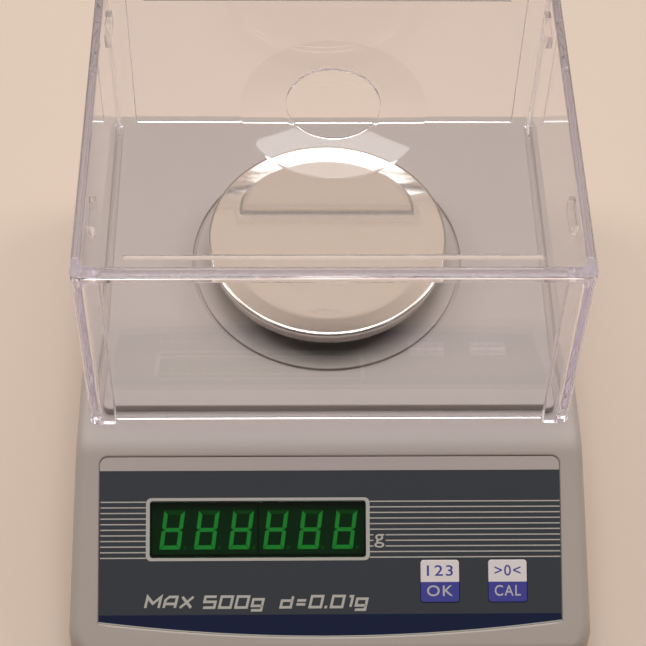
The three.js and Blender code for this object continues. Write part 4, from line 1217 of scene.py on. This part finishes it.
def makeRow(spec):
    stroke, height = spec["stroke"], spec["height"] - spec["stroke"]
    used = [letters[c][0] for c in spec["text"] if c != " "]
    spaces = spec["space"] * spec["text"].count(" ")
    gaps = (len(used) - 1) * (stroke + spec["gap"])
    cell = (spec["width"] - stroke - spaces - gaps) / sum(used)
    x, pieces = spec["middle"][0] - spec["width"] / 2 + stroke / 2, []
    base = spec["middle"][1] - height / 2
    for character in spec["text"]:
        if character == " ":
            x += spec["space"]
            continue
        share, paths = letters[character]
        for path in paths:
            line = [Vector((x + u * share * cell, v * height)) for u, v in path]
            edge = strokeOutline(line, stroke)
            outline = [(p.x + spec["slant"] * (p.y - height / 2), base + p.y) for p in edge]
            lift = -sink + film * (0.9 + 0.1 * (len(pieces) % 2))  # strokes that cross share no face
            pieces.append(plate(f"rowStroke_{len(pieces)}", outline, (-sink - film, lift)))
        x += share * cell + stroke + spec["gap"]
    first, rest = pieces[0], pieces[1:]
    with bpy.context.temp_override(active_object=first, selected_editable_objects=pieces):
        bpy.ops.object.join()
    first.name = "capacityRow"
    dressed(setOnPanel(first), inks["silver"], "base", "label_film")


makeRow(capacityRow)
unit = {"words": "g", "size": 7.4, "width": 3.7, "at": (18.4, -31.6), "bold": 0.03}
inscribe("unitMark", *unit.values(), inks["silver"], "base", "label_film")
print("keys and marks made")

# Weighing pan: pressed steel, dished inside a raised rim, with a turned-down skirt
pan = {
    "edge": 1.3,
    "sheet": 1.0,
    "skirt": 6.4,
    "hem": 0.45,
    "hemTuck": (0.1, 0.8),
    "skirtDraft": 0.9,
    "dishWidth": 8,
    "dishDepth": 0.95,
    "bend": 30,
    "steps": 8,
    "skirtRoughness": 0.1,
    # painted shade: the skirt's darker, browner colour stands for the shadowed deck it reflects
    "skirtShadeTint": colour(205, 194, 186),
}


def panMaterial():  # polished on top, duller down the skirt, whose darker colour is painted shade
    material = finishes["steel"]
    tree = material.node_tree
    shader = next(node for node in tree.nodes if node.type == "BSDF_PRINCIPLED")
    rim = (panHigh.z - pan["edge"]) * mm
    skirtDullAndShade = ramp(tree, axes(tree, objectSpace(tree))["Z"], rim, rim - pan["edge"] * mm)
    # painted shade darkens the skirt's colour, and the same ramp makes the skirt rougher
    tint = mixColour(tree, skirtDullAndShade, list(shader.inputs["Base Color"].default_value), pan["skirtShadeTint"])
    tree.links.new(tint, shader.inputs["Base Color"])
    plain = shader.inputs["Roughness"].links[0].from_socket
    rough = math(tree, "MULTIPLY", skirtDullAndShade, pan["skirtRoughness"])
    tree.links.new(math(tree, "ADD", plain, rough), shader.inputs["Roughness"])
    return material


def makePan():
    outer, top = panHigh.x - panX, panHigh.z
    edge, sheet, skirt, steps = pan["edge"], pan["sheet"], pan["skirt"], pan["steps"]
    floor, crest = top - pan["dishDepth"], outer - edge
    start = crest - pan["dishWidth"]
    slope = atan2(pan["dishDepth"], pan["dishWidth"])
    reach = pan["bend"] * tan(slope / 2)
    surface = [(0, floor), (start - 3 * reach, floor)]
    surface += arc((start - reach, floor + pan["bend"]), pan["bend"], -pi / 2, slope - pi / 2, steps)
    surface += arc((crest - edge * sin(slope), top - edge), edge, pi / 2 + slope, pi / 2, 3)
    surface += arc((crest, top - edge), edge, pi / 2, 0, steps)
    hem = (outer - pan["hem"] - pan["skirtDraft"], top - skirt + pan["hem"])
    profile = surface + arc(hem, pan["hem"], 0, -pi, steps)
    inner = outer - sheet
    tuck, rise = pan["hemTuck"]
    profile += [(hem[0] - pan["hem"] - tuck, hem[1] + rise), (inner, top - edge)]
    profile += [(inner - edge + sheet, top - sheet), (start, floor - sheet), (0, floor - sheet)]
    dish = turned("pan", profile, (panX, panY), 192)
    smooth(dish, 50)
    dressed(dish, panMaterial(), "pan", "pan_steel", "weighing_pan")


makePan()
print("pan made")

# Draft shield: four corner posts, four walls and the lid
shield = {
    "footSpread": 0.9,
    "draft": (1.4, 1.6),
    "leg": 9.8,
    "postWall": 3.2,
    "frontWall": 5.6,
    "fillet": 2,
    "radius": 2.8,
    "foot": 3.7,
    "frontFoot": 0.3,
    "backFoot": 2.2,
    "footSlope": 0.2,
    "wall": 2.6,
    "frontSheet": 2.9,
    "recess": 0.3,
    "frontRecess": 2.2,
    "glue": 0.15,
    "pegRadius": 1.0,
    "pegDepth": 3.5,
    "pegInset": 3.4,
    "ease": 0.3,
    "wallEase": 0.5,
    "footEase": 1.3,
    "hair": 0.05,
}
shieldTop = postHigh.z
shieldHalf = postHigh.x


def insetAt(z):  # how far the shield's outside lies in from its widest, across and in depth
    share = (z - deckTop) / (shieldTop - deckTop)
    return share * shield["draft"][0] - shield["footSpread"], share * shield["draft"][1]


def postOutline(sx, sy, z, trim=0):
    leg, wallX, fillet, corner = (shield[key] for key in ("leg", "postWall", "fillet", "radius"))
    wallY = shield["frontWall"] if sy < 0 else wallX
    insetX, insetY = insetAt(z)
    x0 = sx * (shieldHalf - insetX)
    y0 = (shieldFront + insetY) if sy < 0 else (shieldBack - insetY)
    local = [(leg - trim, trim), (leg - trim, wallY - trim)]
    local += list(reversed(arc((wallX + fillet, wallY + fillet), fillet + trim, pi, 1.5 * pi, 6)))
    local += [(wallX - trim, leg - trim), (trim, leg - trim)]
    local += arc((corner, corner), corner - trim, pi, 1.5 * pi, 8)
    return [(x0 - sx * x, y0 - sy * y) for x, y in local]


def pegPlace(sx, sy):
    x, y = (inset + shield["pegInset"] for inset in insetAt(shieldTop))
    return (sx * (shieldHalf - x), (shieldFront + y) if sy < 0 else (shieldBack - y))


def makePosts():
    hair = shield["hair"]
    for corner, sx, sy in corners:
        bottom, soft = deckTop + hair, shield["footEase"]
        levels = arc((bottom + soft, soft), soft, pi, 1.5 * pi, 4) + [(shieldTop - hair, 0)]
        rings = [atHeight(postOutline(sx, sy, z, trim), z) for z, trim in levels]
        post = loft("post_" + corner, rings)
        ease(post, shield["ease"])
        deep = shieldTop - shield["pegDepth"] - 2 * shield["glue"]
        wide = shield["pegRadius"] + shield["glue"]
        carve(post, rod("pegHole", wide, (deep, shieldTop + cut), pegPlace(sx, sy)))
        smooth(post, 30)
        dressed(post, finishes["clear"], "draft_shield", "clear_plastic", "shield_post_" + corner)


def wallOutline(across, side, z):
    insetX, insetY = insetAt(z)
    recess, wall = shield["recess"], shield["wall"]
    if across and side < 0:
        recess, wall = shield["frontRecess"], shield["frontSheet"]
    reachX, reachY = (shield["leg"] + shield["glue"] + inset for inset in (insetX, insetY))
    if across:
        face = (shieldFront + insetY + recess) if side < 0 else (shieldBack - insetY - recess)
        spanX, spanY = (reachX - shieldHalf, shieldHalf - reachX), (face, face - side * wall)
    else:
        face = side * (shieldHalf - insetX - recess)
        spanX, spanY = (face, face - side * wall), (shieldFront + reachY, shieldBack - reachY)
    return [(spanX[i], spanY[j]) for i, j in ((0, 0), (1, 0), (1, 1), (0, 1))]


def makeWalls():
    head = shieldTop - shield["glue"]
    sides = [("front", True, -1), ("back", True, 1), ("left", False, -1), ("right", False, 1)]
    for name, across, side in sides:
        low = deckTop + shield.get(name + "Foot", shield["foot"])
        rise = shield["footSlope"] if name == "back" else 0  # its outer edge stands a little higher
        lowest = [(x, y, low + rise * (k < 2)) for k, (x, y) in enumerate(wallOutline(across, side, low))]
        sheet = loft("wall_" + name, [lowest, atHeight(wallOutline(across, side, head), head)])
        ease(sheet, shield["wallEase"])
        smooth(sheet, 30)
        dressed(sheet, finishes["clear"], "draft_shield", "clear_plastic", "shield_" + name)


lid = {
    "thick": 3,
    "ringRadius": 34.5,
    "ringSeat": 0.6,
    "ringShift": (0.8, 2.7),
    "holeRadius": 17.1,
    "sheet": 1.5,
    "rim": 3.2,
    "frontRim": 5.3,
    "rimRadius": 2,
    "holeEase": 0.3,
    "rise": 2.2,
    "roundness": 0.14,
    "crownSteps": (0.04, 0.1, 0.2, 0.3, 0.4, 0.5, 0.6, 0.7, 0.8, 0.9, 0.96, 1),
    "ease": 0.5,
    "ribLength": 144,
    "ribWidth": 2.4,
    "ribDrop": 5,
    "ribInset": 8.5,
    "tabLength": 13.5,
    "tabStart": 23,
    "tabInset": 4.4,
    "ribEase": 0.25,
}


def crownProfile():  # from the finger hole out to the flat of the lid, slightly rounded
    high = shieldTop + lid["thick"]
    big, small, rise = lid["ringRadius"], lid["holeRadius"], lid["rise"]
    above, below = [], []
    for share in lid["crownSteps"]:
        radius = small + (big - small) * share
        z = high + rise * (1 - share * (1 + lid["roundness"] * (share - 1)))
        above.append((radius, z))
        below.append((radius, z - lid["sheet"]))
    soft = lid["holeEase"]
    mouth = arc((small + soft, above[0][1] - soft), soft, pi / 2, pi, 5)
    mouth += arc((small + soft, below[0][1] + soft), soft, pi, 1.5 * pi, 5)
    outside = [(big + lid["ringSeat"], high - lid["sheet"]), (big + lid["ringSeat"], high)]
    return mouth + below + outside + list(reversed(above))


def makeLid():
    low, high = shieldTop, shieldTop + lid["thick"]
    insetX, insetY = insetAt(low)
    spanX = (insetX - shieldHalf, shieldHalf - insetX)
    spanY = (shieldFront + insetY, shieldBack - insetY)
    soft, rings = lid["ease"], []
    edge = arc((-soft, low + soft), soft, -pi / 2, 0, 4) + arc((-soft, high - soft), soft, 0, pi / 2, 4)
    for x, z in edge:
        grownX, grownY = (spanX[0] - x, spanX[1] + x), (spanY[0] - x, spanY[1] + x)
        rings.append(atHeight(roundedOutline(grownX, grownY, shield["radius"] + x), z))
    cover = loft("lid", rings)
    shiftX, shiftY = lid["ringShift"]
    middle = (shiftX, sum(spanY) / 2 + shiftY)
    rim, under = lid["rim"], high - lid["sheet"]  # a thin panel inside a thicker rim
    inX, inY = (spanX[0] + rim, spanX[1] - rim), (spanY[0] + lid["frontRim"], spanY[1] - rim)
    carve(cover, plate("underside", roundedOutline(inX, inY, lid["rimRadius"]), (low - cut, under)))
    carve(cover, rod("opening", lid["ringRadius"], (low - cut, high + cut), middle, 144))
    crown = turned("crown", crownProfile(), middle, 144)
    ribs = []
    inside = under + lid["sheet"] / 2
    ribZ = (low - lid["ribDrop"], inside)
    for side in (-1, 1):
        edge = spanY[0] + lid["ribInset"] if side < 0 else spanY[1] - lid["ribInset"] - lid["ribWidth"]
        ribs.append(block("rib", around(0, lid["ribLength"]), (edge, edge + lid["ribWidth"]), ribZ))
        x = side * (spanX[1] - lid["tabInset"] - lid["ribWidth"] / 2)
        for start in (spanY[0] + lid["tabStart"], spanY[1] - lid["tabStart"] - lid["tabLength"]):
            ribs.append(block("tab", around(x, lid["ribWidth"]), (start, start + lid["tabLength"]), ribZ))
    for rib in ribs:
        ease(rib, lid["ribEase"])
    pegZ = (low - shield["pegDepth"], inside)
    pegs = [rod("peg", shield["pegRadius"], pegZ, pegPlace(sx, sy)) for _, sx, sy in corners]
    weld(cover, crown, *ribs, *pegs)
    smooth(cover, 30)
    dressed(cover, finishes["clear"], "lid", "clear_plastic", "shield_lid")


makePosts()
makeWalls()
makeLid()
print("draft shield made")


# Rear fittings, drawn looking at the back: x to the viewer's right, y up, z outwards
rocker = {
    "halfHeight": 7.4,
    "width": 10.4,
    "face": 4.5,
    "dip": 1.1,
    "belly": 4.6,
    "bellySweep": (-0.15 * pi, -0.85 * pi),
    "behindLip": 2.6,
    "axle": (1.5, 11.6),
    "tilt": radians(8),
    "ease": 0.45,
    "lip": (1.4, 1.2),
    "wall": 1.3,
    "depth": 13,
    "sleeveRadius": 0.6,
    "roomRadius": 0.5,
    "lipRadius": 1.6,
    "lipEase": 0.45,
    "terminal": (4.8, 0.8, 8),
    "terminalPitch": 7,
    "terminalHole": (0.9, 5.6),
    "terminalEase": 0.2,
    "markAt": 4.1,
    "markSize": 1.6,
    "markLine": 0.45,
    "markRoot": 0.1,
    "markPinch": 0.02,
    "steps": 10,
}


def rearFrame(node, out=0):  # centred on a node of the rear face
    low, high = nodeBox(node)
    turn = Matrix(((-1, 0, 0), (0, 0, 1), (0, 1, 0))).to_4x4()
    at = Vector(((low.x + high.x) / 2, bodyBack + out, (low.z + high.z) / 2))
    return Matrix.Translation(at * mm) @ turn


def onRear(thing, base):
    thing.data.transform(base)
    return thing


def makeRockerFrame():
    low, high = nodeBox("rocker_frame")
    (lip, lipThick), wall, gap, deep = rocker["lip"], rocker["wall"], panel["seat"], rocker["depth"]
    base = rearFrame("rocker_frame")
    width, height = high.x - low.x - 2 * lip, high.z - low.z - 2 * lip
    outer = roundedOutline(around(0, width + 2 * lip), around(0, height + 2 * lip), rocker["lipRadius"])
    bezel = plate("rockerFrame", outer, (gap / 2, lipThick))
    ease(bezel, rocker["lipEase"], 3)
    sleeve = roundedOutline(around(0, width), around(0, height), rocker["sleeveRadius"], 4)
    weld(bezel, plate("sleeve", sleeve, (-deep, lipThick / 2)))
    inX, inY = around(0, width - 2 * wall), around(0, height - 2 * wall)
    room = plate("room", roundedOutline(inX, inY, rocker["roomRadius"], 4), (wall - deep, cut))
    radius, length = rocker["axle"]
    slotZ = (lipThick - rocker["behindLip"] - radius - gap, cut)
    slot = block("slot", around(0, length + 2 * gap), around(0, 2 * (radius + gap)), slotZ)
    carve(bezel, room, slot)
    smooth(bezel, 35)
    dressed(onRear(bezel, base), finishes["black"], "base", "black_plastic", "rocker_frame")
    wide, thick, long = rocker["terminal"]
    bore, drop = rocker["terminalHole"]
    for end, side in (("low", -1), ("high", 1)):
        y = side * rocker["terminalPitch"] / 2
        blade = block("terminal_" + end, around(0, thick), around(y, wide), (-long, wall / 2))
        ease(blade, rocker["terminalEase"])
        hole = rod("terminalHole", bore, around(0, 4 * thick), (drop, y), 20)
        carve(blade, tipped(hole, "Y"))
        smooth(blade)
        moved(blade, 0, 0, -deep)
        dressed(onRear(blade, base), finishes["tin"], "base", "tinned_steel")


def rockerFace(y):  # two shallow hollows that meet at the middle of the rocker
    return rocker["face"] - rocker["dip"] * (1 - abs(y / rocker["halfHeight"]) ** 1.5)


def rockerMark(name, y, reach):  # a ring of printed ink, so narrow for the stroke that it closes
    line, under, count = rocker["markLine"], -rocker["markRoot"], 40
    points, faces = [], []
    for inset, lift in ((0, under), (0, film), (line, film), (line, under)):
        a, b = (max(r - inset, line * rocker["markPinch"]) for r in reach)
        for k in range(count):
            v = y + b * sin(2 * pi * k / count)
            points.append((a * cos(2 * pi * k / count), v, rockerFace(v) + lift))
    for k in range(4):
        near, far = k * count, (k + 1) % 4 * count
        for j in range(count):
            n = (j + 1) % count
            faces.append((near + j, near + n, far + n, far + j))
    return newPiece(name, points, faces)


def makeRocker():
    half, belly, steps = rocker["halfHeight"], rocker["belly"], rocker["steps"]
    profile = [(y, rockerFace(y)) for y in (half * k / steps for k in range(-steps, steps + 1))]
    profile += [(half, 0)] + arc((0, half - belly), half, *rocker["bellySweep"], steps) + [(-half, 0)]
    width = rocker["width"] / 2
    body = loft("rocker", [[(x, y, z) for y, z in profile] for x in (-width, width)])
    ease(body, rocker["ease"], 3, 50)
    radius, length = rocker["axle"]
    weld(body, tipped(rod("axle", radius, around(0, length)), "Y"))
    smooth(body, 40)
    base = rearFrame("rocker_frame", rocker["lip"][1] - rocker["behindLip"])
    base = base @ Matrix.Rotation(-rocker["tilt"], 4, "X")
    dressed(onRear(body, base), finishes["rocker"], "power_switch", "rocker_plastic", "power_rocker")
    size, line, at = rocker["markSize"], rocker["markLine"], rocker["markAt"]
    for word, y, reach in (("on", at, (line / 2, size)), ("off", -at, (size, size))):
        mark = rockerMark("rockerMark_" + word, y, reach)
        dressed(onRear(mark, base), inks["white"], "power_switch", "rocker_plastic")


def makeInlet():
    low, high = nodeBox("power_inlet")
    base = rearFrame("power_inlet")
    outer, bore, wall, gap = inlet["collarRadius"], inlet["boreRadius"], casing["wall"], panel["seat"]
    front, floor, soft = -wall - gap, -inlet["boreDepth"], inlet["collarEase"]
    wide, deep, past = inlet["mouth"]
    body = block("inlet", around(0, high.x - low.x), around(0, high.z - low.z), (low.y - bodyBack, front))
    ease(body, inlet["ease"])
    lip = arc((outer - soft, -gap - soft), soft, 0, pi / 2, 4)
    root = front - inlet["collarRoot"]
    weld(body, turned("collar", [(0, root), (outer, root), *lip, (0, -gap)], steps=64))
    mouth = [(bore, -gap - deep), (bore + wide, past - gap), (bore + wide, cut)]
    carve(body, turned("bore", [(0, floor), (bore, floor), *mouth, (0, cut)], steps=64))
    smooth(body, 35)
    dressed(onRear(body, base), finishes["black"], "base", "black_plastic", "power_inlet")
    pin, tip, root = inlet["pinRadius"], -wall / 2, floor - inlet["pinRoot"]
    nose = arc((0, tip - pin), pin, 0, pi / 2, 6)
    centre = turned("inletPin", [(0, root), (pin, root), *nose[:-1], (0, tip)], steps=32)
    smooth(centre, 40)
    dressed(onRear(centre, base), finishes["tin"], "base", "tinned_steel")


makeRockerFrame()
makeRocker()
makeInlet()
print("rear fittings made")

# Feet: knurled disc on a threaded stem, with a grooved rubber pad
levelFoot = {
    "disc": 11,
    "grips": 16,
    "gripDepth": 0.8,
    "discHeight": 3.6,
    "chamfer": 0.5,
    "stem": 3,
    "threadDepth": 0.45,
    "threadPitch": 1.25,
    "threadFade": (0.6, 0.06),
    "stepsPerTurn": 8,
    "sides": 96,
    "padGrooves": (4.2, 6.6),
    "grooveWidth": 0.9,
    "grooveDepth": 0.6,
    "grooveSlope": 0.15,
    "padEdge": 0.5,
}


def footRing(radius, z, knurl=0.0, thread=0.0):
    ring = []
    for k in range(levelFoot["sides"]):
        angle = 2 * pi * k / levelFoot["sides"]
        turn = (z / levelFoot["threadPitch"] - angle / (2 * pi)) % 1
        r = radius - knurl * max(0, cos(levelFoot["grips"] * angle)) ** 2 - thread * abs(2 * turn - 1)
        ring.append((r * cos(angle), r * sin(angle), z))
    return ring


def makeFoot(corner):
    low, high = nodeBox("levelling_foot_" + corner)
    disc, soft, grip, stem, pitch = (
        levelFoot[key] for key in ("disc", "chamfer", "gripDepth", "stem", "threadPitch")
    )
    top = low.z + levelFoot["discHeight"]
    shortest, taper = levelFoot["threadFade"]
    rings = [footRing(disc - soft, low.z), footRing(disc, low.z + soft, grip)]
    rings += [footRing(disc, top - soft, grip), footRing(disc - 2 * soft, top), footRing(stem, top)]
    count = int((high.z - top) / pitch * levelFoot["stepsPerTurn"])
    for k in range(1, count + 1):
        z = top + (high.z - top) * k / count
        fade = min(1, (high.z - z) / pitch + shortest)  # the stem's end is a little thinner
        rings.append(footRing(stem * (1 - taper + taper * fade), z, thread=levelFoot["threadDepth"]))
    body = loft("levellingFoot_" + corner, rings)
    smooth(body, 35)
    x, y = middleOf("levelling_foot_" + corner)
    moved(body, x, y, 0)
    dressed(body, finishes["black"], "foot_" + corner, "black_plastic", "levelling_foot_" + corner)
    padLow, padHigh = nodeBox("foot_pad_" + corner)
    radius, edge, slope = (padHigh.x - padLow.x) / 2, levelFoot["padEdge"], levelFoot["grooveSlope"]
    profile = [(0, padLow.z)]
    for start in levelFoot["padGrooves"]:
        end, deep = start + levelFoot["grooveWidth"], padLow.z + levelFoot["grooveDepth"]
        profile += [(start, padLow.z), (start + slope, deep), (end - slope, deep), (end, padLow.z)]
    profile += arc((radius - edge, padLow.z + edge), edge, -pi / 2, 0, 4)
    profile += arc((radius - edge, padHigh.z - edge), edge, 0, pi / 2, 4) + [(0, padHigh.z)]
    pad = turned("footPad_" + corner, profile, (x, y))
    smooth(pad, 35)
    dressed(pad, finishes["rubber"], "foot_" + corner, "foot_rubber", "foot_pad_" + corner)


casingScrew = {
    "head": ((0, 0), (1.4, 0.08), (2.38, 0.35), (2.8, 0.91), (2.8, 2)),
    "shank": 1.5,
    "thread": 0.3,
    "pitch": 0.9,
    "lead": (0.4, 0.5),
    "cross": (0.85, 3.3, 1.1),
}


def makeScrew(corner):  # cross-headed, its head in the sink on the underside
    low, high = nodeBox("casing_screw_" + corner)
    shank, pitch, (start, end) = casingScrew["shank"], casingScrew["pitch"], casingScrew["lead"]
    core = shank - casingScrew["thread"]
    profile = [(radius, low.z + z) for radius, z in casingScrew["head"]]
    seat = profile[-1][1]
    for k in range(int((high.z - seat - start - end) / pitch)):
        z = seat + start + k * pitch
        profile += [(core, z), (shank, z + pitch / 2)]
    profile += [(core, high.z - end), (0, high.z)]
    at = middleOf("casing_screw_" + corner)
    body = turned("casingScrew_" + corner, profile, at, 48)
    *bar, deep = casingScrew["cross"]
    for wide, long in (bar, reversed(bar)):
        carve(body, block("cross", around(at[0], wide), around(at[1], long), (low.z - cut, low.z + deep)))
    smooth(body, 35)
    dressed(body, finishes["screw"], "base", "screw_steel", "casing_screw_" + corner)


for corner, _, _ in corners:
    makeFoot(corner)
    makeScrew(corner)

# Pan support: a cast cross on a flanged hub, under the pan
support = {
    "hub": 7,
    "flange": (10, 5),
    "arm": (37, 8, 3.6),
    "pad": (5.5, 1.6),
    "ease": 0.5,
    "screwHole": 2.15,
    "headRoom": 3.9,
    "headHeight": 3,
}


def makeSupport():
    low, high = nodeBox("pan_support")
    (padRadius, padHeight), (flange, flangeHeight) = support["pad"], support["flange"]
    reach, width, thick = support["arm"]
    armTop = high.z - padHeight
    armZ = (armTop - thick, armTop)
    body = rod("panSupport", support["hub"], (low.z, armTop - thick / 2), (0, panY), 64)
    parts = [rod("flange", flange, (low.z, low.z + flangeHeight), (0, panY), 64)]
    spans = (around(0, 2 * reach), around(0, width))
    for spanX, spanY in (spans, spans[::-1]):
        outline = roundedOutline(spanX, [y + panY for y in spanY], width / 2 - sliver, 10)
        parts.append(plate("arm", outline, armZ))
    for x, y in ((1, 0), (-1, 0), (0, 1), (0, -1)):
        far = reach - padRadius
        parts.append(rod("rest", padRadius, (armZ[0], high.z), (x * far, panY + y * far), 48))
    for part in parts:
        ease(part, support["ease"], 3)
    weld(body, *parts)
    top = low.z + flangeHeight
    for side in ("front", "back"):
        at = middleOf("support_screw_" + side)
        hole = rod("hole", support["screwHole"], (low.z - cut, top + cut), at)
        carve(body, hole, rod("room", support["headRoom"], (top - support["headHeight"], top + cut), at))
    smooth(body, 35)
    dressed(body, finishes["alloy"], "pan_carrier", "alloy", "pan_support")


makeSupport()
print("feet, screws and pan support made")


# Floor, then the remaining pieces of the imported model
def makeFloor(spec):
    half = spec["floorSize"] / 2
    places = [(x * half, y * half, 0) for x, y in ((-1, -1), (1, -1), (1, 1), (-1, 1))]
    ground = newPiece("floor", places, [(0, 1, 2, 3)])
    material, tree, shader = newMaterial("paleFloor")
    slow = noise(tree, objectSpace(tree), 3, 2)
    darker = [spec["mottle"] * value for value in spec["floor"][:3]] + [1]
    shade = mixColour(tree, slow, spec["floor"], darker)
    tree.links.new(shade, shader.inputs["Base Color"])
    shader.inputs["Roughness"].default_value = 0.8
    ground.data.materials.append(material)


makeFloor(studio)

packedFinishes = {
    "board": ["display_board", "main_board"],
    "black": [
        "key_switch_left",
        "key_switch_right",
        "processor_chip",
        "reservoir_capacitor",
        "board_header",
    ],
    "tin": ["converter_can"],
    "alloy": ["board_post_left", "board_post_right", "heat_sink", "load_cell", "cell_spacer"],
    "cast": ["cell_plate"],
    "cable": ["display_ribbon", "cell_lead"],
    "screw": [
        "overload_stop",
        "cell_screw_left",
        "cell_screw_right",
        "support_screw_front",
        "support_screw_back",
    ],
}
for finish, nodes in packedFinishes.items():
    for node in nodes:
        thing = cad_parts[node]
        thing.data.materials.clear()
        thing.data.materials.append(finishes[finish])

print("finished")
